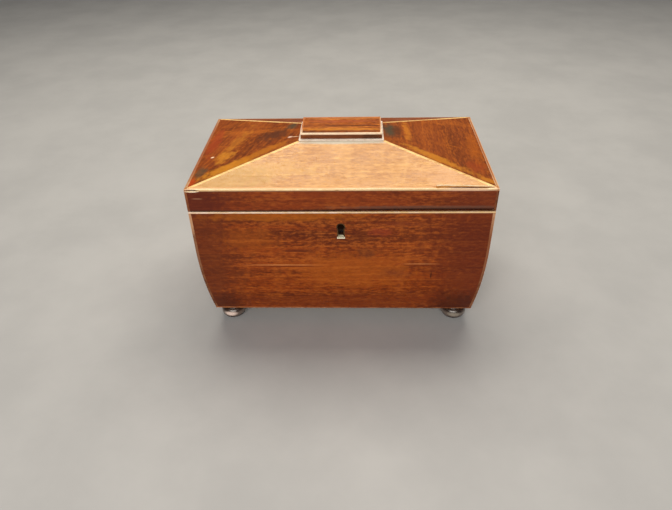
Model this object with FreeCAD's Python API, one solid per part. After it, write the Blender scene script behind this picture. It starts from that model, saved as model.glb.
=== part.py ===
import FreeCAD, Part

# Mahogany tea caddy of sarcophagus form, on four bun feet.
# The case is a box whose walls curve in towards the base.  A hinged lid with four
# low slopes carries a small raised cap.  Inside are two lidded tea compartments and
# a central well that holds a glass mixing bowl.  A link lock sits in the front wall.
#
# Millimetres, +Z up, +X to the right seen from the front, front face towards -Y.
# The case is drawn about its own centre and moved by ORIGIN_SHIFT_Y on export, so
# that the origin is under the centre of the whole object, hinge knuckles included.

import math
import os

from FreeCAD import Vector

# ---------------------------------------------------------------- driving sizes
CASE_WIDTH = 305.0
CASE_DEPTH = 175.0
FOOT_X = 128.0
FOOT_Y = 66.0
FOOT_SPIGOT_RADIUS = 5.0
FOOT_SPIGOT_LENGTH = 6.0
FOOT_HEIGHT = 17.0
BODY_HEIGHT = 134.6
SEAM_GAP = 1.0
BAND_HEIGHT = 24.4
ROOF_RISE = 21.0
CAP_BASE_WIDTH = 88.0
CAP_BASE_DEPTH = 47.0
CAP_BASE_HEIGHT = 1.6
CAP_HEIGHT = 6.0
CAP_STEP = 2.0
CAP_SCREW_X = 25.0
END_TURN_IN = 7.3
FRONT_TURN_IN = 9.5
WALL_STRAIGHT = 45.0
WALL_THICKNESS = 14.0
BASE_THICKNESS = 8.0
PANEL_THICKNESS = 6.5
STRING_WIDTH = 2.4
CLEARANCE = 0.3

# ---------------------------------------------------------------- derived levels
HALF_X = CASE_WIDTH / 2
HALF_Y = CASE_DEPTH / 2
INNER_X = HALF_X - WALL_THICKNESS
INNER_Y = HALF_Y - WALL_THICKNESS
Z_BASE = FOOT_HEIGHT
Z_RIM = Z_BASE + BODY_HEIGHT
Z_BAND = Z_RIM + SEAM_GAP
Z_EAVE = Z_BAND + BAND_HEIGHT
Z_ROOF = Z_EAVE + ROOF_RISE
Z_CAP = Z_ROOF + CAP_BASE_HEIGHT
Z_TOP = Z_CAP + CAP_HEIGHT
Z_FLOOR = Z_BASE + BASE_THICKNESS
ROOF_X = CAP_BASE_WIDTH / 2
ROOF_Y = CAP_BASE_DEPTH / 2
ALL = 600.0

# ---------------------------------------------------------------- string inlay
RIM_STRING_HEIGHT = 2.2
BASE_STRING_HEIGHT = 1.8
CORNER_STRING_WIDTH = 2.6
EAVE_STRING_WIDTH = 3.0
EAVE_STRING_HEIGHT = 2.4
HIP_STRING_WIDTH = 3.2
HIP_STRING_DEPTH = 2.0
CAP_STRING = 1.8

# ---------------------------------------------------------------- hinges
HINGE_X = 90.0
HINGE_LENGTH = 40.0
MIDDLE_KNUCKLE = 14.0
LEAF_THICKNESS = 1.4
LEAF_GAP = 0.4
LEAF_DEPTH = 9.0
KNUCKLE_RADIUS = 2.2
PIN_RADIUS = 1.0
PIN_BORE_RADIUS = 1.05
HINGE_Z = Z_RIM + SEAM_GAP / 2
HINGE_SCREW_OFFSETS = (-15.0, 0.0, 15.0)
HINGE_SCREW_Y = HALF_Y - 6.0
ORIGIN_SHIFT_Y = -KNUCKLE_RADIUS / 2

# ---------------------------------------------------------------- interior
PARTITION_THICKNESS = 6.0
WELL_HALF_X = 46.0
INNER_LID_THICKNESS = 5.0
INNER_LID_DROP = 6.6
INNER_LID_CLEARANCE = 0.5
LEDGE_WIDTH = 3.0
LEDGE_HEIGHT = 10.0
REST_GAP = 0.2
LINING_THICKNESS = 0.5
LINING_BOARD_RISE = 13.5
LINING_BOARD_THICKNESS = 3.0
WELL_BOARD_THICKNESS = 6.0
CLEAT_WIDTH = 10.0
KNOB_HEIGHT = 13.0
BOWL_RIM_RADIUS = 41.0
BOWL_WALL = 3.0
BOWL_HEIGHT = 84.0
BOWL_HOLE_RADIUS = 43.0
Z_INNER_LID = Z_RIM - INNER_LID_DROP
Z_LEDGE = Z_INNER_LID - INNER_LID_THICKNESS - REST_GAP
Z_BOWL_FOOT = Z_INNER_LID + 3.0 - BOWL_HEIGHT
CELL_MIN_X = WELL_HALF_X + PARTITION_THICKNESS
CELL_MID_X = (CELL_MIN_X + INNER_X) / 2

# ---------------------------------------------------------------- lock
LOCK_Y = -HALF_Y + 5.0
LOCK_HALF_X = 22.0
LOCK_BOTTOM_Z = Z_RIM - 38.0
LOCK_WALL = 1.2
SELVEDGE_HALF_X = 31.0
SELVEDGE_FRONT_Y = -INNER_Y - 10.0
SELVEDGE_THICKNESS = 1.8
KEYHOLE_Z = Z_RIM - 18.1
KEYHOLE_RADIUS = 4.6
KEYHOLE_SKIRT = 14.0
KEYHOLE_RIM = 1.1
KEYHOLE_WAIST = 3.7
KEYHOLE_FOOT = 4.1
KEY_WAY_RADIUS = 3.5
KEY_WAY_HALF_SLOT = 2.0
KEY_WAY_DROP = 10.0
ESCUTCHEON_DEPTH = 5.0
DRILL_PIN_RADIUS = 1.2
LOCK_BLOCK_MARGIN = 3.0
LOCK_SCREW_X = 27.0
LINK_Y = -78.0
LINK_X = (-9.0, 9.0)
LINK_THICKNESS = 2.2
LINK_WIDTH = 4.8
LINK_DROP = 10.0
LINK_SCREW_X = 19.0
LINK_PLATE_HALF_X = 24.0
LINK_PLATE_THICKNESS = 1.6
BOLT_PRONG_Z = Z_BAND - 8.2
BOLT_PRONG_HEIGHT = 2.6
BOLT_GAP = 0.8
BOLT_BAR_DROP = 3.1
BOLT_BAR_HEIGHT = 4.0
BOLT_BAR_DEPTH = 6.2
BOLT_BAR_END_X = 8.0
BOLT_POST_BACK = 7.0
BOLT_POST_WIDTH = 3.0
BOLT_NOTCH_HALF = 2.5
BOLT_NOTCH_RISE = 1.5


# ---------------------------------------------------------------- helpers
def save(node, shape):
    """Write one sub-part as a STEP file in the shared frame."""
    placed = shape.copy()
    placed.translate(Vector(0, ORIGIN_SHIFT_Y, 0))
    solids = placed.Solids
    if not solids or not all(solid.isValid() and solid.isClosed() for solid in solids):
        raise RuntimeError("not a closed valid solid: " + node)
    result = solids[0] if len(solids) == 1 else Part.makeCompound(solids)
    result.exportStep("parts/" + node + ".step")
    print("%-28s solids %2d  volume %10.1f" % (node, len(solids), result.Volume))


def box(x0, x1, y0, y1, z0, z1):
    """Block between two corners."""
    return Part.makeBox(x1 - x0, y1 - y0, z1 - z0, Vector(x0, y0, z0))


def plate(half_x, half_y, z0, z1):
    """Block centred on the Z axis."""
    return box(-half_x, half_x, -half_y, half_y, z0, z1)


def prism(points, z0, z1):
    """Upright prism over a plan outline."""
    outline = [Vector(x, y, z0) for x, y in points]
    face = Part.Face(Part.makePolygon(outline + outline[:1]))
    return face.extrude(Vector(0, 0, z1 - z0))


def cylinder(radius, start, along, length):
    """Round bar from a point along a direction."""
    return Part.makeCylinder(radius, length, Vector(*start), Vector(*along))


def turned(profile_edges, x, y, z):
    """Solid of revolution about a vertical axis from edges in the XZ plane."""
    wire = Part.Wire(profile_edges)
    solid = Part.Face(wire).revolve(Vector(0, 0, 0), Vector(0, 0, 1), 360)
    solid.translate(Vector(x, y, z))
    return solid


def line(a, b):
    """Straight profile edge between two (radius, height) points."""
    return Part.LineSegment(Vector(a[0], 0, a[1]), Vector(b[0], 0, b[1])).toShape()


def arc(a, through, b):
    """Round profile edge through three (radius, height) points."""
    points = [Vector(r, 0, z) for r, z in (a, through, b)]
    return Part.Arc(*points).toShape()


def dome(radius, edge_z, centre_z):
    """Round profile edge from (radius, edge_z) to the axis, level at the axis."""
    rise = centre_z - edge_z
    sphere = (radius ** 2 + rise ** 2) / (2 * rise)
    half = radius / 2
    mid_z = centre_z - math.copysign(abs(sphere) - math.sqrt(sphere ** 2 - half ** 2), rise)
    return arc((radius, edge_z), (half, mid_z), (0, centre_z))


def join(shapes):
    """One shape from several that touch or overlap."""
    shapes = list(shapes)
    result = shapes[0].multiFuse(shapes[1:]) if len(shapes) > 1 else shapes[0]
    return result.removeSplitter()


def wood_screw(x, y, z, direction, length, head_radius, shank_radius):
    """Countersunk wood screw; z is its head's face, direction is +1 up or -1 down."""
    head_depth = head_radius - shank_radius
    head = Part.makeCone(head_radius, shank_radius, head_depth, Vector(x, y, z),
                         Vector(0, 0, direction))
    shank = cylinder(shank_radius, (x, y, z), (0, 0, direction), length * 0.7)
    tip_start = z + direction * length * 0.7
    tip = Part.makeCone(shank_radius, shank_radius * 0.2, length * 0.3,
                        Vector(x, y, tip_start), Vector(0, 0, direction))
    slot = box(x - head_radius, x + head_radius, y - 0.25, y + 0.25,
               min(z, z + direction * 0.5), max(z, z + direction * 0.5))
    return join([head, shank, tip]).cut(slot)


# ---------------------------------------------------------------- outer forms
def curved_block(half, inset, along_x):
    """Long block with the wall's curved profile on two sides.

    The sides are upright for WALL_STRAIGHT below the rim, then turn in on an arc
    that is tangent to the upright part: by FRONT_TURN_IN at the front and back,
    where the block runs along X, and by END_TURN_IN at the two ends.
    """
    turn_in = FRONT_TURN_IN if along_x else END_TURN_IN
    h = half - inset
    arc_height = BODY_HEIGHT - WALL_STRAIGHT
    radius = (arc_height ** 2 + turn_in ** 2) / (2 * turn_in)
    z_arc = Z_RIM - WALL_STRAIGHT
    z_mid = z_arc - arc_height / 2
    mid = h - (radius - math.sqrt(radius ** 2 - (arc_height / 2) ** 2))
    low = h - turn_in
    edges = [
        Part.LineSegment(Vector(-h, 0, Z_RIM), Vector(h, 0, Z_RIM)).toShape(),
        Part.LineSegment(Vector(h, 0, Z_RIM), Vector(h, 0, z_arc)).toShape(),
        Part.Arc(Vector(h, 0, z_arc), Vector(mid, 0, z_mid), Vector(low, 0, Z_BASE)).toShape(),
        Part.LineSegment(Vector(low, 0, Z_BASE), Vector(-low, 0, Z_BASE)).toShape(),
        Part.Arc(Vector(-low, 0, Z_BASE), Vector(-mid, 0, z_mid), Vector(-h, 0, z_arc)).toShape(),
        Part.LineSegment(Vector(-h, 0, z_arc), Vector(-h, 0, Z_RIM)).toShape(),
    ]
    block = Part.Face(Part.Wire(edges)).extrude(Vector(0, ALL, 0))
    block.translate(Vector(0, -ALL / 2, 0))
    if along_x:
        block.rotate(Vector(0, 0, 0), Vector(0, 0, 1), 90)
    return block


def case_form(inset):
    """The case's outer form, drawn in by a constant inset."""
    return curved_block(HALF_X, inset, False).common(curved_block(HALF_Y, inset, True))


def roof_form(drop):
    """Everything under the lid's four slopes, lowered by drop."""
    low = [(-HALF_X, -HALF_Y), (HALF_X, -HALF_Y), (HALF_X, HALF_Y), (-HALF_X, HALF_Y)]
    high = [(-ROOF_X, -ROOF_Y), (ROOF_X, -ROOF_Y), (ROOF_X, ROOF_Y), (-ROOF_X, ROOF_Y)]
    wires = []
    for outline, z in ((low, Z_EAVE - drop), (high, Z_ROOF - drop)):
        points = [Vector(x, y, z) for x, y in outline]
        wires.append(Part.makePolygon(points + points[:1]))
    slopes = Part.makeLoft(wires, True, True)
    return join([slopes, plate(HALF_X, HALF_Y, Z_BAND, Z_EAVE - drop)])


def mitre_wedges():
    """Plan regions that split a four-sided frame at its 45 degree mitres."""
    e = 20.0
    ridge = HALF_X - HALF_Y
    x = HALF_X + e
    y = HALF_Y + e
    outlines = {
        "front": [(-x, -y), (x, -y), (ridge, 0), (-ridge, 0)],
        "back": [(x, y), (-x, y), (-ridge, 0), (ridge, 0)],
        "left": [(-x, y), (-x, -y), (-ridge, 0)],
        "right": [(x, -y), (x, y), (ridge, 0)],
    }
    return {side: prism(points, -10, 300) for side, points in outlines.items()}


def slope_wedges():
    """Plan regions of the lid's four slopes, which meet at the hips."""
    x, y = HALF_X, HALF_Y
    outlines = {
        "front": [(-x, -y), (x, -y), (ROOF_X, -ROOF_Y), (-ROOF_X, -ROOF_Y)],
        "back": [(x, y), (-x, y), (-ROOF_X, ROOF_Y), (ROOF_X, ROOF_Y)],
        "left": [(-x, y), (-x, -y), (-ROOF_X, -ROOF_Y), (-ROOF_X, ROOF_Y)],
        "right": [(x, -y), (x, y), (ROOF_X, ROOF_Y), (ROOF_X, -ROOF_Y)],
    }
    return {side: prism(points, 0, 300) for side, points in outlines.items()}


# ---------------------------------------------------------------- hardware solids
def keyhole_outline(inset, y0, depth):
    """Keyhole form: a round eye over a skirt that flares to a rounded foot."""
    radius = KEYHOLE_RADIUS - inset
    eye = cylinder(radius, (0, y0, KEYHOLE_Z), (0, 1, 0), depth)
    waist = KEYHOLE_WAIST - inset
    foot = KEYHOLE_FOOT - inset
    bottom = KEYHOLE_Z - KEYHOLE_SKIRT + inset
    points = [(-waist, KEYHOLE_Z), (waist, KEYHOLE_Z), (foot, bottom), (-foot, bottom)]
    outline = [Vector(x, y0, z) for x, z in points]
    skirt = Part.Face(Part.makePolygon(outline + outline[:1])).extrude(Vector(0, depth, 0))
    return join([eye, skirt])


def hinge_leaf(centre_x, lid_side):
    """Leaf with its knuckles; the lid's leaf has the middle one."""
    x0 = centre_x - HINGE_LENGTH / 2
    x1 = centre_x + HINGE_LENGTH / 2
    middle = (centre_x - MIDDLE_KNUCKLE / 2, centre_x + MIDDLE_KNUCKLE / 2)
    gap = LEAF_GAP / 2
    if lid_side:
        z0 = HINGE_Z + gap
        own = [middle]
        other = [(x0, middle[0]), (middle[1], x1)]
    else:
        z0 = HINGE_Z - gap - LEAF_THICKNESS
        own = [(x0, middle[0] - CLEARANCE), (middle[1] + CLEARANCE, x1)]
        other = [(middle[0] - CLEARANCE, middle[1] + CLEARANCE)]
    leaf = box(x0, x1, HALF_Y - LEAF_DEPTH, HALF_Y, z0, z0 + LEAF_THICKNESS)
    for start, end in other:
        leaf = leaf.cut(cylinder(KNUCKLE_RADIUS + CLEARANCE, (start, HALF_Y, HINGE_Z),
                                 (1, 0, 0), end - start))
    barrels = [cylinder(KNUCKLE_RADIUS, (start, HALF_Y, HINGE_Z), (1, 0, 0), end - start)
               for start, end in own]
    leaf = join([leaf] + barrels)
    bore = cylinder(PIN_BORE_RADIUS, (x0 - 1, HALF_Y, HINGE_Z), (1, 0, 0), HINGE_LENGTH + 2)
    return leaf.cut(bore)


def hinge_screws(lid_side):
    """All screws of both hinges on one side of the seam."""
    direction = 1 if lid_side else -1
    face = HINGE_Z + direction * LEAF_GAP / 2
    return [wood_screw(side * HINGE_X + offset, HINGE_SCREW_Y, face, direction, 8.0, 2.0, 1.0)
            for side in (-1, 1) for offset in HINGE_SCREW_OFFSETS]


def hinge_pocket():
    """Space that the two hinges' knuckles sweep, kept clear of the wood."""
    return [cylinder(KNUCKLE_RADIUS + CLEARANCE,
                     (side * HINGE_X - HINGE_LENGTH / 2 - CLEARANCE, HALF_Y, HINGE_Z),
                     (1, 0, 0), HINGE_LENGTH + 2 * CLEARANCE) for side in (-1, 1)]


def make_hinges():
    """Leaves, pins and screws of both butt hinges."""
    parts = {}
    for name, centre in (("left", -HINGE_X), ("right", HINGE_X)):
        for side, lid_side in (("box", False), ("lid", True)):
            leaf = hinge_leaf(centre, lid_side)
            for screw in hinge_screws(lid_side):
                leaf = leaf.cut(screw)
            parts["hinge_%s_%s_leaf" % (name, side)] = leaf
        parts["hinge_%s_pin" % name] = cylinder(
            PIN_RADIUS, (centre - HINGE_LENGTH / 2, HALF_Y, HINGE_Z), (1, 0, 0), HINGE_LENGTH)
    parts["hinge_box_screws"] = Part.makeCompound(hinge_screws(False))
    parts["hinge_lid_screws"] = Part.makeCompound(hinge_screws(True))
    return parts


def make_lock():
    """Link lock: case with selvedge, cover, drill pin, bolt, screws and escutcheon."""
    cover_y = -INNER_Y - LOCK_WALL
    selvedge_z = Z_RIM - SELVEDGE_THICKNESS
    case = box(-LOCK_HALF_X, LOCK_HALF_X, LOCK_Y, cover_y, LOCK_BOTTOM_Z, selvedge_z)
    selvedge = box(-SELVEDGE_HALF_X, SELVEDGE_HALF_X, SELVEDGE_FRONT_Y, -INNER_Y,
                   selvedge_z, Z_RIM)
    cavity = box(-LOCK_HALF_X + LOCK_WALL, LOCK_HALF_X - LOCK_WALL, LOCK_Y + LOCK_WALL, cover_y,
                 LOCK_BOTTOM_Z + LOCK_WALL, selvedge_z)
    case = join([case, selvedge]).cut(cavity)
    for x in LINK_X:
        half = LINK_THICKNESS / 2 + 2 * CLEARANCE
        case = case.cut(box(x - half, x + half, LINK_Y - 3.0, LINK_Y + 3.0, selvedge_z - 1, Z_RIM + 1))
    key_way = join([cylinder(KEY_WAY_RADIUS, (0, LOCK_Y - 1, KEYHOLE_Z), (0, 1, 0), 3),
                    box(-KEY_WAY_HALF_SLOT, KEY_WAY_HALF_SLOT, LOCK_Y - 1, LOCK_Y + 2,
                        KEYHOLE_Z - KEY_WAY_DROP, KEYHOLE_Z)])
    case = case.cut(key_way)
    screws = [wood_screw(side * LOCK_SCREW_X, LINK_Y, Z_RIM, -1, 10.0, 2.2, 1.1)
              for side in (-1, 1)]
    for screw in screws:
        case = case.cut(screw)

    pin_y = LOCK_Y + KEYHOLE_RIM
    pin = cylinder(DRILL_PIN_RADIUS, (0, pin_y, KEYHOLE_Z), (0, 1, 0), -INNER_Y - pin_y)
    cover = box(-LOCK_HALF_X, LOCK_HALF_X, cover_y, -INNER_Y, LOCK_BOTTOM_Z, selvedge_z).cut(pin)

    link_half = LINK_THICKNESS / 2
    bar_top = BOLT_PRONG_Z - BOLT_BAR_DROP
    bar_low = bar_top - BOLT_BAR_HEIGHT
    bar_back = cover_y - REST_GAP
    bar_front = bar_back - BOLT_BAR_DEPTH
    first_post = LINK_X[0] - link_half - BOLT_GAP - BOLT_POST_BACK
    bar = box(first_post, BOLT_BAR_END_X, bar_front, bar_back, bar_low, bar_top)
    notch = box(-BOLT_NOTCH_HALF, BOLT_NOTCH_HALF, bar_front, bar_back,
                bar_low, bar_low + BOLT_NOTCH_RISE)
    fingers = []
    for x in LINK_X:
        prong_tip = x - link_half - BOLT_GAP
        post = prong_tip - BOLT_POST_BACK
        prong_top = BOLT_PRONG_Z + BOLT_PRONG_HEIGHT
        fingers.append(box(post, post + BOLT_POST_WIDTH, LINK_Y - 1.8, LINK_Y + 1.8, bar_top, prong_top))
        fingers.append(box(post, prong_tip, LINK_Y - 1.0, LINK_Y + 1.0, BOLT_PRONG_Z, prong_top))
    bolt = join([bar] + fingers).cut(notch)

    escutcheon = keyhole_outline(0, -HALF_Y, ESCUTCHEON_DEPTH)
    escutcheon = escutcheon.cut(keyhole_outline(KEYHOLE_RIM, -HALF_Y - 1, ESCUTCHEON_DEPTH + 2))
    return {
        "lock_case": case,
        "lock_cover": cover,
        "lock_drill_pin": pin,
        "lock_bolt": bolt,
        "lock_screws": Part.makeCompound(screws),
        "keyhole_escutcheon": escutcheon,
    }


def make_link_plate():
    """Lid half of the lock: a plate under the front rail with two drop links."""
    body = box(-LINK_PLATE_HALF_X, LINK_PLATE_HALF_X, LINK_Y - 4.5, LINK_Y + 4.0,
               Z_BAND, Z_BAND + LINK_PLATE_THICKNESS)
    links = []
    for x in LINK_X:
        half = LINK_THICKNESS / 2
        link = box(x - half, x + half, LINK_Y - LINK_WIDTH / 2, LINK_Y + LINK_WIDTH / 2,
                   Z_BAND - LINK_DROP, Z_BAND)
        hole = box(x - half, x + half, LINK_Y - 1.4, LINK_Y + 1.4, BOLT_PRONG_Z - 0.5,
                   BOLT_PRONG_Z + BOLT_PRONG_HEIGHT + 0.5)
        links.append(link.cut(hole))
    body = join([body] + links)
    screws = [wood_screw(side * LINK_SCREW_X, LINK_Y, Z_BAND, 1, 10.0, 2.2, 1.1)
              for side in (-1, 1)]
    for screw in screws:
        body = body.cut(screw)
    return {"link_plate": body, "link_screws": Part.makeCompound(screws)}


# ---------------------------------------------------------------- case
def make_feet():
    """Four flattened bun feet, each with a spigot glued into the base board."""
    spigot_top = FOOT_HEIGHT + FOOT_SPIGOT_LENGTH
    profile = [
        line((0, 0), (8.0, 0)),
        arc((8.0, 0), (13.0, 3.4), (14.0, 8.0)),
        arc((14.0, 8.0), (13.0, 12.0), (10.4, 14.2)),
        arc((10.4, 14.2), (10.0, 15.6), (10.8, FOOT_HEIGHT)),
        line((10.8, FOOT_HEIGHT), (FOOT_SPIGOT_RADIUS, FOOT_HEIGHT)),
        line((FOOT_SPIGOT_RADIUS, FOOT_HEIGHT), (FOOT_SPIGOT_RADIUS, spigot_top)),
        line((FOOT_SPIGOT_RADIUS, spigot_top), (0, spigot_top)),
        line((0, spigot_top), (0, 0)),
    ]
    feet = {}
    for end, y in (("front", -FOOT_Y), ("back", FOOT_Y)):
        for side, x in (("left", -FOOT_X), ("right", FOOT_X)):
            feet["foot_%s_%s" % (end, side)] = turned(profile, x, y, 0)
    return feet


def make_case(cutters, feet):
    """Base board, four mitred walls and the case's string inlay."""
    outer = case_form(0)
    hollow = plate(INNER_X, INNER_Y, Z_BASE - 1, Z_RIM + 1)
    core = case_form(STRING_WIDTH)
    rim_zone = plate(ALL, ALL, Z_RIM - RIM_STRING_HEIGHT, Z_RIM)
    base_zone = plate(ALL, ALL, Z_BASE, Z_BASE + BASE_STRING_HEIGHT)
    corner_zone = plate(ALL, ALL, Z_BASE + BASE_STRING_HEIGHT, Z_RIM - RIM_STRING_HEIGHT)
    rim_string = outer.common(rim_zone).cut(core)
    base_string = outer.common(base_zone).cut(core)
    corners = outer.common(corner_zone)
    corners = corners.cut(curved_block(HALF_X, CORNER_STRING_WIDTH, False))
    corners = corners.cut(curved_block(HALF_Y, CORNER_STRING_WIDTH, True))
    frame = outer.cut(hollow)
    for piece in (rim_string, base_string, corners):
        frame = frame.cut(piece)
    for cutter in cutters:
        frame = frame.cut(cutter)
        rim_string = rim_string.cut(cutter)
    parts = {"%s_wall" % side: frame.common(wedge) for side, wedge in mitre_wedges().items()}
    parts["front_wall"] = front_boards(parts["front_wall"])
    base = plate(INNER_X, INNER_Y, Z_BASE, Z_FLOOR)
    for foot in feet.values():
        base = base.cut(foot)
    parts["base_board"] = base
    parts["rim_stringing"] = rim_string
    parts["base_stringing"] = base_string
    parts["case_corner_stringing"] = corners
    return parts


def front_boards(wall):
    """Front wall glued up from two long ends, a lower middle and two lock blocks.

    The lock blocks meet on the keyhole's centre line, so that the keyhole and the
    lock's pocket are cut from short blocks before they are glued to the rest.
    """
    edge = SELVEDGE_HALF_X + LOCK_BLOCK_MARGIN
    level = LOCK_BOTTOM_Z - LOCK_BLOCK_MARGIN
    zones = [
        box(-ALL, -edge, -ALL, 0, 0, ALL),
        box(edge, ALL, -ALL, 0, 0, ALL),
        box(-edge, edge, -ALL, 0, 0, level),
        box(-edge, 0, -ALL, 0, level, ALL),
        box(0, edge, -ALL, 0, level, ALL),
    ]
    return Part.makeCompound([wall.common(zone) for zone in zones])


# ---------------------------------------------------------------- interior
def make_partitions():
    """Two upright boards that divide the case into three cells, and their ledges."""
    parts = {}
    for side, sign in (("left", -1), ("right", 1)):
        xs = sorted((sign * WELL_HALF_X, sign * CELL_MIN_X))
        parts["partition_%s" % side] = box(xs[0], xs[1], -INNER_Y, INNER_Y, Z_FLOOR, Z_INNER_LID)
        cell = sorted((sign * CELL_MIN_X, sign * INNER_X))
        parts["ledges_%s_cell" % side] = ledges(cell[0], cell[1])
    parts["ledges_bowl_well"] = ledges(-WELL_HALF_X, WELL_HALF_X)
    return parts


def ledges(x0, x1):
    """Pair of strips along the front and back walls of one cell."""
    low = Z_LEDGE - LEDGE_HEIGHT
    front = box(x0, x1, -INNER_Y, -INNER_Y + LEDGE_WIDTH, low, Z_LEDGE)
    back = box(x0, x1, INNER_Y - LEDGE_WIDTH, INNER_Y, low, Z_LEDGE)
    return Part.makeCompound([front, back])


def make_cell_linings():
    """Thin foil linings of the two tea compartments, open at the top."""
    parts = {}
    top = Z_LEDGE - LEDGE_HEIGHT
    t = LINING_THICKNESS
    for side, sign in (("left", -1), ("right", 1)):
        x0, x1 = sorted((sign * CELL_MIN_X, sign * INNER_X))
        outer = box(x0, x1, -INNER_Y, INNER_Y, Z_FLOOR, top)
        inner = box(x0 + t, x1 - t, -INNER_Y + t, INNER_Y - t, Z_FLOOR + t, top + 1)
        parts["foil_lining_%s" % side] = outer.cut(inner)
    return parts


def make_inner_lids():
    """Lift-out lids of the tea compartments, each with a turned knob."""
    c = INNER_LID_CLEARANCE
    z0 = Z_INNER_LID - INNER_LID_THICKNESS
    knob_profile = [
        line((0, -INNER_LID_THICKNESS), (2.5, -INNER_LID_THICKNESS)),
        line((2.5, -INNER_LID_THICKNESS), (2.5, 0)),
        line((2.5, 0), (6.0, 0)),
        arc((6.0, 0), (5.4, 1.6), (3.6, 3.0)),
        arc((3.6, 3.0), (3.4, 4.6), (4.6, 6.2)),
        arc((4.6, 6.2), (8.0, 9.0), (5.4, 11.8)),
        dome(5.4, 11.8, KNOB_HEIGHT),
        line((0, KNOB_HEIGHT), (0, -INNER_LID_THICKNESS)),
    ]
    parts = {}
    for side, sign in (("left", -1), ("right", 1)):
        x0, x1 = sorted((sign * CELL_MIN_X, sign * INNER_X))
        board = box(x0 + c, x1 - c, -INNER_Y + c, INNER_Y - c, z0, Z_INNER_LID)
        knob = turned(knob_profile, sign * CELL_MID_X, 0, Z_INNER_LID)
        parts["inner_lid_%s" % side] = board.cut(knob)
        parts["inner_lid_knob_%s" % side] = knob
    return parts


def make_bowl_well():
    """Glass mixing bowl with the ring board, floor board and cleats that hold it."""
    outer = [
        line((0, 0), (22.0, 0)),
        arc((22.0, 0), (23.0, 2.5), (21.5, 5.0)),
        arc((21.5, 5.0), (35.5, 27.0), (39.5, 55.0)),
        line((39.5, 55.0), (BOWL_RIM_RADIUS, BOWL_HEIGHT)),
        line((BOWL_RIM_RADIUS, BOWL_HEIGHT), (BOWL_RIM_RADIUS - BOWL_WALL, BOWL_HEIGHT)),
        line((BOWL_RIM_RADIUS - BOWL_WALL, BOWL_HEIGHT), (36.5, 55.0)),
        arc((36.5, 55.0), (31.5, 30.0), (20.0, 15.0)),
        dome(20.0, 15.0, 11.0),
        line((0, 11.0), (0, 0)),
    ]
    bowl = turned(outer, 0, 0, Z_BOWL_FOOT)
    board_top = Z_BOWL_FOOT - REST_GAP
    board_low = board_top - WELL_BOARD_THICKNESS
    floor = box(-WELL_HALF_X, WELL_HALF_X, -INNER_Y, INNER_Y, board_low, board_top)
    cleats = [box(-WELL_HALF_X, CLEAT_WIDTH - WELL_HALF_X, -INNER_Y, INNER_Y, Z_FLOOR, board_low),
              box(WELL_HALF_X - CLEAT_WIDTH, WELL_HALF_X, -INNER_Y, INNER_Y, Z_FLOOR, board_low)]
    ring = box(-WELL_HALF_X, WELL_HALF_X, -INNER_Y, INNER_Y, Z_LEDGE, Z_INNER_LID)
    ring = ring.cut(cylinder(BOWL_HOLE_RADIUS, (0, 0, Z_LEDGE - 1), (0, 0, 1), 8))
    return {
        "mixing_bowl": bowl,
        "bowl_floor_board": floor,
        "bowl_floor_cleats": Part.makeCompound(cleats),
        "bowl_ring_board": ring,
    }


# ---------------------------------------------------------------- lid
def hip_slabs():
    """Upright slabs along the four hips, as wide as the hip string."""
    run_x = HALF_X - ROOF_X
    run_y = HALF_Y - ROOF_Y
    length = math.hypot(run_x, run_y)
    slabs = []
    for sx in (-1, 1):
        for sy in (-1, 1):
            slab = box(0, length, -HIP_STRING_WIDTH / 2, HIP_STRING_WIDTH / 2, 0, 300)
            slab.rotate(Vector(0, 0, 0), Vector(0, 0, 1),
                        math.degrees(math.atan2(-sy * run_y, -sx * run_x)))
            slab.translate(Vector(sx * HALF_X, sy * HALF_Y, 0))
            slabs.append(slab)
    return slabs


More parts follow.
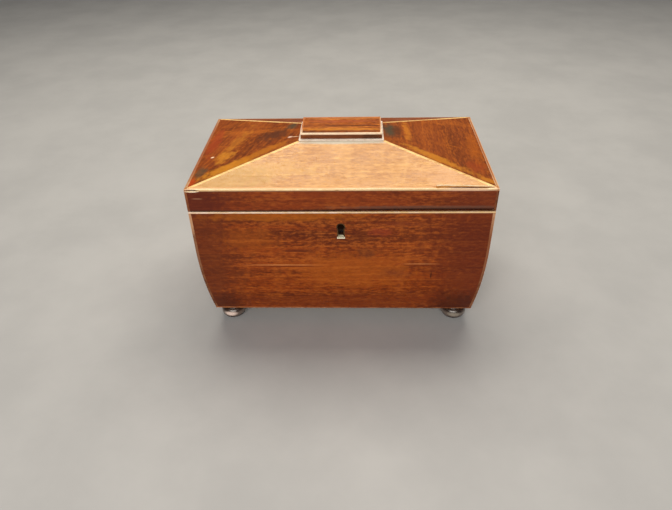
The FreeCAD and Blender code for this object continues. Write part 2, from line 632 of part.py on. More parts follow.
def make_lid(cutters):
    """Band rails, slopes, crown board, cap, lining board and the lid's strings."""
    form = roof_form(0)
    eave_inner = plate(HALF_X - EAVE_STRING_WIDTH, HALF_Y - EAVE_STRING_WIDTH, 0, 300)
    cap_core = plate(ROOF_X, ROOF_Y, 0, 300)
    above_eave = plate(ALL, ALL, Z_EAVE - EAVE_STRING_HEIGHT, 300)
    eave = form.common(above_eave).cut(eave_inner)

    shell = form.cut(roof_form(PANEL_THICKNESS)).common(eave_inner).cut(cap_core)
    hip_zone = form.cut(roof_form(HIP_STRING_DEPTH)).common(eave_inner).cut(cap_core)
    hips = [hip_zone.common(slab) for slab in hip_slabs()]
    parts = {}
    panels = shell
    for hip in hips:
        panels = panels.cut(hip)
    for side, wedge in slope_wedges().items():
        parts["lid_%s_slope" % side] = panels.common(wedge)

    corners = []
    w = STRING_WIDTH
    for sx in (-1, 1):
        for sy in (-1, 1):
            xs = sorted((sx * HALF_X, sx * (HALF_X - w)))
            ys = sorted((sy * HALF_Y, sy * (HALF_Y - w)))
            corners.append(box(xs[0], xs[1], ys[0], ys[1], Z_BAND, Z_EAVE - EAVE_STRING_HEIGHT))
    rails = form.cut(plate(INNER_X, INNER_Y, 0, 300)).cut(shell).cut(eave)
    for piece in corners + list(cutters):
        rails = rails.cut(piece)
    for side, wedge in mitre_wedges().items():
        parts["lid_%s_rail" % side] = rails.common(wedge)

    crown = plate(ROOF_X, ROOF_Y, Z_ROOF - PANEL_THICKNESS, Z_ROOF)
    cap_base = plate(ROOF_X, ROOF_Y, Z_ROOF, Z_CAP)
    cap_x = ROOF_X - CAP_STEP
    cap_y = ROOF_Y - CAP_STEP
    cap = plate(cap_x, cap_y, Z_CAP, Z_TOP)
    cap_string = plate(cap_x, cap_y, Z_TOP - CAP_STRING, Z_TOP).cut(
        plate(cap_x - CAP_STRING, cap_y - CAP_STRING, Z_CAP, Z_TOP + 1))
    cap_screws = [wood_screw(side * CAP_SCREW_X, 0, Z_ROOF - PANEL_THICKNESS, 1, 12.0, 2.6, 1.3)
                  for side in (-1, 1)]
    for screw in cap_screws:
        crown = crown.cut(screw)
        cap_base = cap_base.cut(screw)
        cap = cap.cut(screw)
    parts["lid_crown_board"] = crown
    parts["cap_base_fillet"] = cap_base
    parts["cap_block"] = cap.cut(cap_string)
    parts["cap_stringing"] = cap_string
    parts["cap_screws"] = Part.makeCompound(cap_screws)
    parts["eave_stringing"] = eave
    parts["hip_stringing"] = Part.makeCompound(hips)
    parts["lid_corner_stringing"] = Part.makeCompound(corners)
    lining_low = Z_BAND + LINING_BOARD_RISE
    parts["lid_lining_board"] = plate(
        INNER_X, INNER_Y, lining_low, lining_low + LINING_BOARD_THICKNESS)
    return parts


# ---------------------------------------------------------------- assembly
def main():
    """Build every sub-part and write it."""
    os.makedirs("parts", exist_ok=True)
    hinges = make_hinges()
    lock = make_lock()
    link = make_link_plate()
    pockets = hinge_pocket()
    lock_pocket = box(-LOCK_HALF_X, LOCK_HALF_X, LOCK_Y, -INNER_Y, LOCK_BOTTOM_Z, Z_RIM)
    selvedge_pocket = box(-SELVEDGE_HALF_X, SELVEDGE_HALF_X, SELVEDGE_FRONT_Y, -INNER_Y,
                          Z_RIM - SELVEDGE_THICKNESS, Z_RIM)
    case_cutters = [hinges["hinge_left_box_leaf"], hinges["hinge_right_box_leaf"],
                    hinges["hinge_box_screws"], lock_pocket, selvedge_pocket,
                    lock["lock_screws"], keyhole_outline(0, -HALF_Y - 5, 11.0)] + pockets
    lid_cutters = [hinges["hinge_left_lid_leaf"], hinges["hinge_right_lid_leaf"],
                   hinges["hinge_lid_screws"], link["link_plate"], link["link_screws"]] + pockets

    parts = make_feet()
    parts.update(make_case(case_cutters, dict(parts)))
    parts.update(make_partitions())
    parts.update(make_cell_linings())
    parts.update(make_inner_lids())
    parts.update(make_bowl_well())
    parts.update(lock)
    parts.update(link)
    parts.update(hinges)
    parts.update(make_lid(lid_cutters))
    for node, shape in parts.items():
        save(node, shape)
    print("nodes:", len(parts))


main()
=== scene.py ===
"""Finishes and fine detail of a mahogany tea caddy with string inlay.

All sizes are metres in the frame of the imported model: +Z up, +X to the right seen
from the front, and the front faces -Y.
"""
import logging
import math
from dataclasses import dataclass
from enum import Enum
from typing import Iterable, Iterator, Protocol, Sequence, Union

import bmesh
import bpy
from mathutils import Matrix, Vector


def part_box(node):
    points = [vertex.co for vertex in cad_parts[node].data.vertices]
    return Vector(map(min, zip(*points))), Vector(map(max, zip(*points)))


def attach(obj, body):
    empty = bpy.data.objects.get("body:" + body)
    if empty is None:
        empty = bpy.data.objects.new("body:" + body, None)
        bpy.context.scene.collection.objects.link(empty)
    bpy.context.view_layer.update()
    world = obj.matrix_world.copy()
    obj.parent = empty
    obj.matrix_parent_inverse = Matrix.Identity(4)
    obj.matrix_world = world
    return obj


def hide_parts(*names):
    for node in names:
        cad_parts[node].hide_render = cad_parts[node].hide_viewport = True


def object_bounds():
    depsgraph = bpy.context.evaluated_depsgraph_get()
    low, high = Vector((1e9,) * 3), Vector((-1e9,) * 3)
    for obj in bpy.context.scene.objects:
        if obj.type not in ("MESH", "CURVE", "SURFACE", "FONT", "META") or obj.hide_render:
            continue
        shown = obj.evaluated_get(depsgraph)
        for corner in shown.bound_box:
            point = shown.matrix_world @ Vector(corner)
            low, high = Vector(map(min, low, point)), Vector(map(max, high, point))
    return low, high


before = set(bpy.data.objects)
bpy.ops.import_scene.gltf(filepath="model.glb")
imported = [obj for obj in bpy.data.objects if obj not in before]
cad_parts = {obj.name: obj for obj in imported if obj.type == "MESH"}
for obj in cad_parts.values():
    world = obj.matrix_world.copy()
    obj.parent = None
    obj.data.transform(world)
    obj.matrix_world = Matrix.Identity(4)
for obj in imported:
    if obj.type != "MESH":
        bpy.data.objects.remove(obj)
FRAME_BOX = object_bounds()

LOG = logging.getLogger("tea_caddy")
MM = 0.001

Rgb = tuple[float, float, float]
Point = tuple[float, float, float]
Socket = bpy.types.NodeSocket
Value = Union[Socket, float, Sequence[float]]

ORIGIN: Point = (0.0, 0.0, 0.0)
FRONT = FRAME_BOX[0][1]
HALF_WIDTH = FRAME_BOX[1][0]


class Along(Enum):
    """Direction in which a board's grain runs, as the turn that brings it to X."""

    X = (0.0, 0.0, 0.0)
    Y = (0.0, 0.0, -math.pi / 2)
    Z = (0.0, math.pi / 2, 0.0)


class Kind(Enum):
    """Kinds of socket on a shader group."""

    COLOUR = "NodeSocketColor"
    NUMBER = "NodeSocketFloat"
    VECTOR = "NodeSocketVector"


class Slot(Enum):
    """Names of material slots."""

    MAHOGANY = "mahogany_lid"
    STRING = "boxwood_string"


# ------------------------------------------------------------------ node helpers
class Graph:
    """A node tree with short calls for the nodes that the finishes use."""

    def __init__(self, tree: bpy.types.NodeTree) -> None:
        """Keep the tree that new nodes go into."""
        self.tree = tree

    def node(self, kind: str, **settings: object) -> bpy.types.Node:
        """Add one node.

        Args:
            kind: the node's type.
            settings: its plain settings by name.

        Returns:
            The node.
        """
        made = self.tree.nodes.new(kind)
        for name, value in settings.items():
            setattr(made, name, value)
        return made

    def feed(self, socket: Socket, value: Value) -> None:
        """Link an input to another socket, or set its value.

        Args:
            socket: the input.
            value: a socket, a number, a colour or a vector.
        """
        if isinstance(value, bpy.types.NodeSocket):
            self.tree.links.new(value, socket)
        elif socket.type == "RGBA" and len(value) == 3:
            socket.default_value = (*value, 1.0)
        else:
            socket.default_value = value

    def math(self, operation: str, *values: Value, clamp: bool = False) -> Socket:
        """Arithmetic on numbers.

        Args:
            operation: name of the operation.
            values: its numbers.
            clamp: whether the result stays between 0 and 1.

        Returns:
            The result.
        """
        made = self.node("ShaderNodeMath", operation=operation, use_clamp=clamp)
        for socket, value in zip(made.inputs, values):
            self.feed(socket, value)
        return made.outputs[0]

    def times(self, a: Value, b: Value) -> Socket:
        """Product of two numbers."""
        return self.math("MULTIPLY", a, b)

    def plus(self, a: Value, b: Value) -> Socket:
        """Sum of two numbers."""
        return self.math("ADD", a, b)

    def less(self, a: Value, b: Value) -> Socket:
        """First number less the second."""
        return self.math("SUBTRACT", a, b)

    def vector(self, operation: str, *values: Value) -> Socket:
        """Arithmetic on vectors.

        Args:
            operation: name of the operation.
            values: its vectors.

        Returns:
            The vector, or the number for a length.
        """
        made = self.node("ShaderNodeVectorMath", operation=operation)
        for socket, value in zip(made.inputs, values):
            self.feed(socket, value)
        return made.outputs["Value" if operation == "LENGTH" else "Vector"]

    def join(self, *values: Value) -> Socket:
        """Make a vector of three numbers.

        Args:
            values: the numbers.

        Returns:
            The vector.
        """
        made = self.node("ShaderNodeCombineXYZ")
        for socket, value in zip(made.inputs, values):
            self.feed(socket, value)
        return made.outputs[0]

    def blend(self, amount: Value, a: Value, b: Value) -> Socket:
        """Blend two colours.

        Args:
            amount: share of the second colour.
            a: the first colour.
            b: the second colour.

        Returns:
            The blended colour.
        """
        made = self.node("ShaderNodeMix", data_type="RGBA", blend_type="MIX")
        for index, value in ((0, amount), (6, a), (7, b)):
            self.feed(made.inputs[index], value)
        return made.outputs[2]

    def remap(self, value: Value, low: float, high: float, to_low: float = 0.0,
              to_high: float = 1.0) -> Socket:
        """Move a value from one range to another with soft ends.

        Args:
            value: the value.
            low: start of its range.
            high: end of its range.
            to_low: result at the start.
            to_high: result at the end.

        Returns:
            The moved value.
        """
        made = self.node("ShaderNodeMapRange", interpolation_type="SMOOTHSTEP")
        for index, item in enumerate((value, low, high, to_low, to_high)):
            self.feed(made.inputs[index], item)
        return made.outputs[0]

    def noise(self, vector: Value, scale: float, detail: float = 2.0,
              roughness: float = 0.5, distortion: float = 0.0) -> Socket:
        """Soft noise between 0 and 1.

        Args:
            vector: where it is read.
            scale: waves in a metre.
            detail: finer layers.
            roughness: strength of the finer layers.
            distortion: how far it is stirred.

        Returns:
            The noise.
        """
        made = self.node("ShaderNodeTexNoise")
        self.feed(made.inputs["Vector"], vector)
        for name, value in (("Scale", scale), ("Detail", detail), ("Roughness", roughness),
                            ("Distortion", distortion)):
            self.feed(made.inputs[name], value)
        return made.outputs["Fac"]

    def fibres(self, vector: Value, pitch: Point, detail: float = 2.0,
               roughness: float = 0.5, distortion: float = 0.0) -> Socket:
        """Noise with its own number of waves in a metre along each axis."""
        stretched = self.vector("MULTIPLY", vector, pitch)
        return self.noise(stretched, 1.0, detail, roughness, distortion)

    def place(self, turn: Point = ORIGIN, centre: Point = ORIGIN) -> Socket:
        """Object coordinates, centred on a point and turned.

        Args:
            turn: angles of the turn.
            centre: the point.

        Returns:
            The coordinates.
        """
        made = self.node("ShaderNodeMapping", vector_type="TEXTURE")
        made.inputs["Location"].default_value = centre
        made.inputs["Rotation"].default_value = [-angle for angle in turn]
        self.feed(made.inputs["Vector"], self.node("ShaderNodeTexCoord").outputs["Object"])
        return made.outputs["Vector"]

    def effect(self, tree: bpy.types.NodeTree, **values: Value) -> bpy.types.Node:
        """Place a shared effect.

        Args:
            tree: the shader group.
            values: its inputs by name.

        Returns:
            The group's node.
        """
        made = self.node("ShaderNodeGroup", node_tree=tree)
        for name, value in values.items():
            self.feed(made.inputs[name], value)
        return made

    def bump(self, height: Value, strength: float, distance: float) -> Socket:
        """Normal from a height.

        Args:
            height: the height's pattern.
            strength: share of the effect.
            distance: depth of the relief.

        Returns:
            The normal.
        """
        made = self.node("ShaderNodeBump")
        self.feed(made.inputs["Height"], height)
        made.inputs["Strength"].default_value = strength
        made.inputs["Distance"].default_value = distance
        return made.outputs["Normal"]


def new_effect(name: str, inputs: dict[str, Kind],
               outputs: dict[str, Kind]) -> tuple[Graph, bpy.types.Node, bpy.types.Node]:
    """Start a shared shader group.

    Args:
        name: the group's name.
        inputs: each input's kind by its name.
        outputs: the same for the outputs.

    Returns:
        The group's graph, its input node and its output node.
    """
    tree = bpy.data.node_groups.new(name, "ShaderNodeTree")
    for way, sockets in (("INPUT", inputs), ("OUTPUT", outputs)):
        for label, kind in sockets.items():
            tree.interface.new_socket(label, in_out=way, socket_type=kind.value)
    graph = Graph(tree)
    return graph, graph.node("NodeGroupInput"), graph.node("NodeGroupOutput")


class Effects:
    """The shader groups that several finishes share."""

    def __init__(self) -> None:
        """Build each group once."""
        self.timber = self._timber()
        self.patch = self._patch()
        self.handling = self._handling()

    @staticmethod
    def _timber() -> bpy.types.NodeTree:
        """Wood with its grain along X: drift, growth streaks, flame and open pores.

        Returns:
            The group.
        """
        g, i, o = new_effect(
            "timber_grain",
            dict(Vector=Kind.VECTOR, Pale=Kind.COLOUR, Body=Kind.COLOUR, Dark=Kind.COLOUR,
                 Streaks=Kind.NUMBER, Flame=Kind.NUMBER, Pores=Kind.NUMBER, Seed=Kind.NUMBER,
                 Coarseness=Kind.NUMBER),
            dict(Color=Kind.COLOUR, Height=Kind.NUMBER, Polish=Kind.NUMBER))
        pale, body, dark = (i.outputs[tone] for tone in ("Pale", "Body", "Dark"))
        shift = g.join(*(g.times(i.outputs["Seed"], step) for step in (0.31, 0.73, 0.57)))
        at = g.vector("ADD", i.outputs["Vector"], shift)
        sway = g.times(g.less(g.fibres(at, (5.0, 9.0, 9.0)), 0.5), 0.018)
        at = g.vector("ADD", at, g.join(0.0, sway, sway))
        scaled = g.vector("MULTIPLY", at, g.join(*[i.outputs["Coarseness"]] * 3))
        drift = g.fibres(scaled, (4.0, 17.0, 17.0), 3.0, 0.55)
        bands = g.fibres(scaled, (3.0, 85.0, 85.0), 3.0, 0.6)
        streaks = g.fibres(scaled, (11.0, 330.0, 330.0), 3.0, 0.6)
        fleck = g.fibres(scaled, (150.0, 430.0, 430.0), 3.0, 0.7)
        flame = g.fibres(at, (55.0, 15.0, 15.0), 3.0, 0.6, 0.8)
        pores = g.fibres(at, (120.0, 1500.0, 1500.0), 1.0)
        tone = g.plus(g.times(drift, 0.36), g.times(bands, 0.30))
        tone = g.plus(tone, g.times(fleck, 0.34))
        colour = g.blend(g.remap(tone, 0.38, 0.56), dark, body)
        mixed = g.plus(g.times(streaks, 0.5), g.times(fleck, 0.5))
        for end, ink in ((0.64, pale), (0.36, dark)):
            amount = g.times(g.remap(mixed, 0.47, end), i.outputs["Streaks"])
            colour = g.blend(amount, colour, ink)
        glow = g.times(g.remap(flame, 0.48, 0.72), i.outputs["Flame"])
        colour = g.blend(glow, colour, pale)
        pits = g.remap(pores, 0.60, 0.70)
        colour = g.blend(g.times(pits, i.outputs["Pores"]), colour, dark)
        g.feed(o.inputs["Color"], colour)
        g.feed(o.inputs["Height"], g.less(g.times(streaks, 0.35), g.times(pits, 0.8)))
        g.feed(o.inputs["Polish"], g.plus(g.times(pits, 0.5), drift))
        return g.tree

    @staticmethod
    def _patch() -> bpy.types.NodeTree:
        """Soft oval mask about the origin of its vector, with a ragged edge.

        Returns:
            The group.
        """
        g, i, o = new_effect("ragged_patch",
                             dict(Vector=Kind.VECTOR, Size=Kind.VECTOR, Ragged=Kind.NUMBER),
                             dict(Mask=Kind.NUMBER))
        at, ragged = i.outputs["Vector"], i.outputs["Ragged"]
        reach = g.vector("LENGTH", g.vector("DIVIDE", at, i.outputs["Size"]))
        torn = g.times(g.noise(at, 130.0, 4.0, 0.6), ragged)
        reach = g.plus(reach, g.less(torn, g.times(ragged, 0.5)))
        g.feed(o.inputs["Mask"], g.remap(reach, 1.0, 0.35))
        return g.tree

    @staticmethod
    def _handling() -> bpy.types.NodeTree:
        """Marks of use: smears in the polish, fine scratches and settled dirt.

        Returns:
            The group.
        """
        g, i, o = new_effect("handling_marks", dict(Vector=Kind.VECTOR),
                             dict(Smear=Kind.NUMBER, Scratch=Kind.NUMBER, Dirt=Kind.NUMBER))
        at = i.outputs["Vector"]
        hair = g.fibres(at, (24.0, 700.0, 310.0), 1.0, 0.5, 0.3)
        g.feed(o.inputs["Smear"], g.noise(at, 26.0, 3.0, 0.6, 0.4))
        g.feed(o.inputs["Scratch"], g.remap(hair, 0.70, 0.76))
        g.feed(o.inputs["Dirt"], g.remap(g.noise(at, 60.0, 5.0, 0.7), 0.50, 0.72))
        return g.tree


# ------------------------------------------------------------------ finishes
@dataclass(frozen=True)
class Patch:
    """A local change of colour: a stain, a worn spot, a figure in the wood, a painted shade or a
    painted highlight.
    """

    mark: str
    centre: Point
    size: Point
    colour: Rgb
    strength: float = 0.6
    ragged: float = 0.9
    turn: float = 0.0

    @classmethod
    def on_front(cls, mark: str, x: float, z: float, wide: float, high: float, colour: Rgb,
                 strength: float = 0.6, ragged: float = 0.9) -> "Patch":
        """Mark on the front wall, placed by X and Z, and as deep as the wall's curve."""
        return cls(mark, (x, FRONT, z), (wide, 0.05, high), colour, strength, ragged)


@dataclass(frozen=True)
class Tones:
    """Three tones of one wood, from its bright streaks to its pores."""

    pale: Rgb
    body: Rgb
    dark: Rgb


class Coating(Graph):
    """The node tree of one material."""

    def __init__(self, name: str) -> None:
        """Start a material with a plain shader.

        Args:
            name: the material's name.
        """
        self.material = bpy.data.materials.new(name)
        self.material.use_nodes = True
        super().__init__(self.material.node_tree)

    def surface(self, **inputs: Value) -> None:
        """Feed the shader.

        Args:
            inputs: its inputs by name, with _ for a space.
        """
        sockets = self.tree.nodes["Principled BSDF"].inputs
        for name, value in inputs.items():
            self.feed(sockets[name.replace("_", " ")], value)

    def handling(self, fx: Effects, at: Value) -> list[Socket]:
        """Masks of the smears, the scratches and the dirt that use has left."""
        return list(self.effect(fx.handling, Vector=at).outputs)

    def masks(self, fx: Effects,
              patches: Iterable[Patch]) -> Iterator[tuple[Patch, Socket]]:
        """Place patches one by one.

        Args:
            fx: the shared effects.
            patches: the patches, in the order in which they are laid.

        Yields:
            Each patch with its mask, scaled to its strength.
        """
        for patch in patches:
            at = self.place((0.0, 0.0, patch.turn), patch.centre)
            spot = self.effect(fx.patch, Vector=at, Size=patch.size, Ragged=patch.ragged)
            spot.label = patch.mark
            yield patch, self.times(spot.outputs["Mask"], patch.strength)


class Finish(Protocol):
    """Anything that can build a material."""

    def material(self, fx: Effects) -> bpy.types.Material:
        """Build the material from the shared effects."""


@dataclass(frozen=True)
class Timber:
    """Wood under polish, with its grain along one direction."""

    name: str
    tones: Tones
    along: Along = Along.X
    lean: float = 0.0
    streaks: float = 0.45
    flame: float = 0.2
    pores: float = 0.5
    coarseness: float = 1.0
    seed: float = 0.0
    roughness: float = 0.34
    specular: float = 0.16
    coat: float = 0.0
    coat_roughness: float = 0.22
    relief: float = 0.25
    grime: float = 0.12
    patches: tuple[Patch, ...] = ()

    def material(self, fx: Effects) -> bpy.types.Material:
        """Build the finish.

        Args:
            fx: the shared effects.

        Returns:
            The material.
        """
        g, tones = Coating(self.name), self.tones
        turn = Vector(self.along.value)
        turn.z += self.lean
        wood = g.effect(
            fx.timber, Vector=g.place(tuple(turn)), Pale=tones.pale, Body=tones.body,
            Dark=tones.dark, Streaks=self.streaks, Flame=self.flame, Pores=self.pores,
            Seed=self.seed, Coarseness=self.coarseness)
        smear, scratch, dirt = g.handling(fx, g.place())
        colour = wood.outputs["Color"]
        for patch, amount in g.masks(fx, self.patches):
            colour = g.blend(amount, colour, patch.colour)
        colour = g.blend(g.times(dirt, self.grime), colour, tones.dark)
        rough = g.plus(g.remap(wood.outputs["Polish"], 0.3, 1.0, -0.05, 0.10),
                       g.remap(smear, 0.3, 0.7, self.roughness - 0.05, self.roughness + 0.07))
        rough = g.math("ADD", rough, g.times(scratch, 0.15), clamp=True)
        height = g.less(wood.outputs["Height"], g.times(scratch, 0.4))
        g.surface(Base_Color=colour, Roughness=rough,
                  Normal=g.bump(height, self.relief, 0.3 * MM), Specular_IOR_Level=self.specular,
                  Coat_Weight=self.coat, Coat_Roughness=self.coat_roughness)
        return g.material


@dataclass(frozen=True)
class Metal:
    """Aged metal with tarnish, fine scratches and local patches of colour, painted shade and
    painted highlight.
    """

    name: str
    bright: Rgb
    dull: Rgb
    roughness: float = 0.34
    tarnish: float = 0.5
    specular: float = 0.5
    patches: tuple[Patch, ...] = ()

    def material(self, fx: Effects) -> bpy.types.Material:
        """Build the finish.

        Args:
            fx: the shared effects.

        Returns:
            The material.
        """
        g = Coating(self.name)
        at = g.place()
        smear, scratch, _ = g.handling(fx, at)
        tarnish = g.times(g.remap(g.noise(at, 240.0, 4.0, 0.6), 0.35, 0.68), self.tarnish)
        colour = g.blend(tarnish, self.bright, self.dull)
        colour = g.blend(g.times(scratch, 0.3), colour, self.bright)
        metallic = g.remap(tarnish, 0.0, 1.0, 1.0, 0.75)
        for patch, amount in g.masks(fx, self.patches):
            colour = g.blend(amount, colour, patch.colour)
            metallic = g.times(metallic, g.less(1.0, amount))
        rough = g.remap(smear, 0.2, 0.8, self.roughness - 0.08, self.roughness + 0.12)
        g.surface(Base_Color=colour, Metallic=metallic,
                  Roughness=g.plus(rough, g.times(tarnish, 0.2)),
                  Normal=g.bump(scratch, 0.15, 0.1 * MM), Specular_IOR_Level=self.specular)
        return g.material


@dataclass(frozen=True)
class Foil:
    """Crinkled tin foil, dulled by tea."""

    name: str = "tin_foil_lining"
    bright: Rgb = (0.62, 0.62, 0.60)
    stain: Rgb = (0.30, 0.25, 0.18)

    def material(self, fx: Effects) -> bpy.types.Material:
        """Build the finish.

        Args:
            fx: the shared effects.

        Returns:
            The material.
        """
        g = Coating(self.name)
        at = g.place()
        smear, _, dirt = g.handling(fx, at)
        nudge = g.vector("MULTIPLY", g.vector("ADD", at, (0.1, 0.2, 0.3)), (0.02, 0.02, 0.02))
        creases = g.node("ShaderNodeTexVoronoi", feature="DISTANCE_TO_EDGE")
        g.feed(creases.inputs["Vector"], g.vector("ADD", at, nudge))
        creases.inputs["Scale"].default_value = 120.0
        fold = g.remap(creases.outputs["Distance"], 0.0, 0.25)
        height = g.plus(fold, g.noise(at, 300.0, 4.0, 0.7))
        g.surface(Base_Color=g.blend(g.times(dirt, 0.7), self.bright, self.stain),
                  Metallic=0.9, Roughness=g.remap(smear, 0.2, 0.8, 0.28, 0.5),
                  Normal=g.bump(height, 0.6, 0.6 * MM))
        return g.material


@dataclass(frozen=True)
class Bone:
    """Turned bone with faint fibres and darkened hollows."""

    name: str = "turned_bone_knob"
    body: Rgb = (0.80, 0.71, 0.50)
    fibre: Rgb = (0.52, 0.38, 0.20)

    def material(self, fx: Effects) -> bpy.types.Material:
        """Build the finish.

        Args:
            fx: the shared effects.

        Returns:
            The material.
        """
        g = Coating(self.name)
        at = g.place()
        smear, _, dirt = g.handling(fx, at)
        fibres = g.fibres(at, (1400.0, 1400.0, 160.0))
        lines = g.remap(fibres, 0.56, 0.70)
        colour = g.blend(g.times(lines, 0.6), self.body, self.fibre)
        g.surface(Base_Color=g.blend(g.times(dirt, 0.5), colour, self.fibre),
                  Roughness=g.remap(smear, 0.2, 0.8, 0.22, 0.4),
                  Normal=g.bump(fibres, 0.12, 0.2 * MM),
                  Subsurface_Weight=0.1, Subsurface_Scale=2.0 * MM)
        return g.material


@dataclass(frozen=True)
class Glass:
    """Clear blown glass with a faint green cast and tea haze."""

    name: str = "clear_bowl_glass"
    tint: Rgb = (0.90, 0.96, 0.93)
    haze: Rgb = (0.74, 0.78, 0.70)

    def material(self, fx: Effects) -> bpy.types.Material:
        """Build the finish.

        Args:
            fx: the shared effects.

        Returns:
            The material.
        """
        g = Coating(self.name)
        smear, _, dirt = g.handling(fx, g.place())
        g.surface(Base_Color=g.blend(g.times(dirt, 0.25), self.tint, self.haze),
                  Roughness=g.remap(smear, 0.3, 0.9, 0.0, 0.08),
                  Transmission_Weight=1.0, IOR=1.5)
        return g.material


@dataclass(frozen=True)
class Paper:
    """Faded lining paper with fibres, foxing and rubbed spots."""

    name: str = "faded_lining_paper"
    body: Rgb = (0.075, 0.13, 0.21)
    rubbed: Rgb = (0.24, 0.28, 0.30)
    foxing: Rgb = (0.22, 0.13, 0.06)

    def material(self, fx: Effects) -> bpy.types.Material:
        """Build the finish.

        Args:
            fx: the shared effects.

        Returns:
            The material.
        """
        g = Coating(self.name)
        at = g.place()
        smear, _, _ = g.handling(fx, at)
        fibres = g.fibres(at, (900.0, 1300.0, 900.0), 3.0, 0.7)
        colour = g.blend(g.remap(g.noise(at, 14.0, 4.0, 0.6), 0.4, 0.75), self.body, self.rubbed)
        colour = g.blend(g.remap(g.noise(at, 95.0, 3.0), 0.62, 0.74), colour, self.foxing)
        colour = g.blend(g.times(g.remap(fibres, 0.5, 0.8), 0.3), colour, self.rubbed)
        g.surface(Base_Color=colour, Roughness=g.remap(smear, 0.0, 1.0, 0.8, 0.95),
                  Normal=g.bump(fibres, 0.3, 0.2 * MM), Specular_IOR_Level=0.2)
        return g.material


# ------------------------------------------------------------------ mesh helpers
def cad_mesh(node: str) -> bmesh.types.BMesh:
    """Make a merged working copy of a frame node.

    Args:
        node: the node's name.

    Returns:
        The copy, with its flat faces whole.
    """
    bm = bmesh.new()
    bm.from_mesh(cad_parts[node].data)
    bmesh.ops.remove_doubles(bm, verts=bm.verts, dist=1e-6)
    bmesh.ops.dissolve_limit(bm, angle_limit=math.radians(1.0), verts=bm.verts,
                             edges=bm.edges, use_dissolve_boundaries=False, delimit=set())
    return bm


def ease(bm: bmesh.types.BMesh, width: float, segments: int = 2,
         sharper_than: float = 30.0) -> None:
    """Round over a mesh's sharp edges.

    Args:
        bm: the mesh.
        width: width of the rounding.
        segments: steps across it.
        sharper_than: least angle of an edge that is rounded, in degrees.
    """
    limit = math.radians(sharper_than)
    sharp = [e for e in bm.edges
             if len(e.link_faces) == 2 and e.calc_face_angle(0.0) > limit]
    bmesh.ops.bevel(bm, geom=sharp, offset=width, offset_type="OFFSET", affect="EDGES",
                    segments=segments, profile=0.5, material=-1, clamp_overlap=True)


def slice_along(bm: bmesh.types.BMesh, start: float, end: float, step: float) -> None:
    """Cut rings across a mesh at even steps along X.

    Args:
        bm: the mesh.
        start: place of the first ring.
        end: place that the last ring doesn't pass.
        step: distance between rings.
    """
    count = int((end - start) / step)
    for index in range(count + 1):
        geom = bm.verts[:] + bm.edges[:] + bm.faces[:]
        bmesh.ops.bisect_plane(bm, geom=geom, dist=1e-7, plane_co=(start + index * step, 0, 0),
                               plane_no=(1.0, 0.0, 0.0))


def finish_piece(bm: bmesh.types.BMesh, name: str, material: bpy.types.Material, body: str,
                 slot: Slot, *replaced: str) -> None:
    """Turn a working mesh into a finished piece on its body.

    Args:
        bm: the working mesh, which is freed.
        name: the piece's name.
        material: its finish.
        body: the frame body it rides on.
        slot: name of a material slot; not used.
        replaced: frame nodes that it stands for.
    """
    bmesh.ops.recalc_face_normals(bm, faces=bm.faces)
    mesh = bpy.data.meshes.new(name)
    bm.to_mesh(mesh)
    bm.free()
    mesh.polygons.foreach_set("use_smooth", [False] * len(mesh.polygons))
    mesh.materials.append(material)
    piece = bpy.data.objects.new(name, mesh)
    bpy.context.scene.collection.objects.link(piece)
    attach(piece, body)
    if replaced:
        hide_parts(*replaced)
    LOG.info("piece %s: %d faces", name, len(mesh.polygons))


# ------------------------------------------------------------------ colours
MAHOGANY = Tones((0.54, 0.145, 0.022), (0.31, 0.056, 0.007), (0.115, 0.020, 0.005))
BAND_WOOD = Tones(MAHOGANY.pale, (0.24, 0.042, 0.008), MAHOGANY.dark)
PINE = Tones((0.62, 0.44, 0.24), (0.48, 0.31, 0.15), (0.22, 0.12, 0.05))
STRING_BODY: Rgb = (0.80, 0.54, 0.27)
STRING_DARK: Rgb = (0.45, 0.24, 0.09)
# near-black for dirt on the cap, and for painted shade in the gaps under the lid band and above
# the lifted string
GRIME_AND_SHADE: Rgb = (0.05, 0.020, 0.010)
BRASS: Rgb = (0.74, 0.54, 0.24)
BRASS_TARNISH: Rgb = (0.30, 0.19, 0.08)
STEEL: Rgb = (0.46, 0.44, 0.42)
RUST: Rgb = (0.16, 0.12, 0.10)


# ------------------------------------------------------------------ sub-assemblies
@dataclass
class Assembly:
    """A group of pieces that are dressed with the shared effects."""

    fx: Effects

    def dress(self, finish: Finish, *nodes: str) -> None:
        """Give frame nodes a finish.

        Args:
            finish: the finish.
            nodes: names of the nodes.
        """
        material = finish.material(self.fx)
        for node in nodes:
            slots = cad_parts[node].data.materials
            slots.clear()
            slots.append(material)
            LOG.info("node %s: %s", node, material.name)


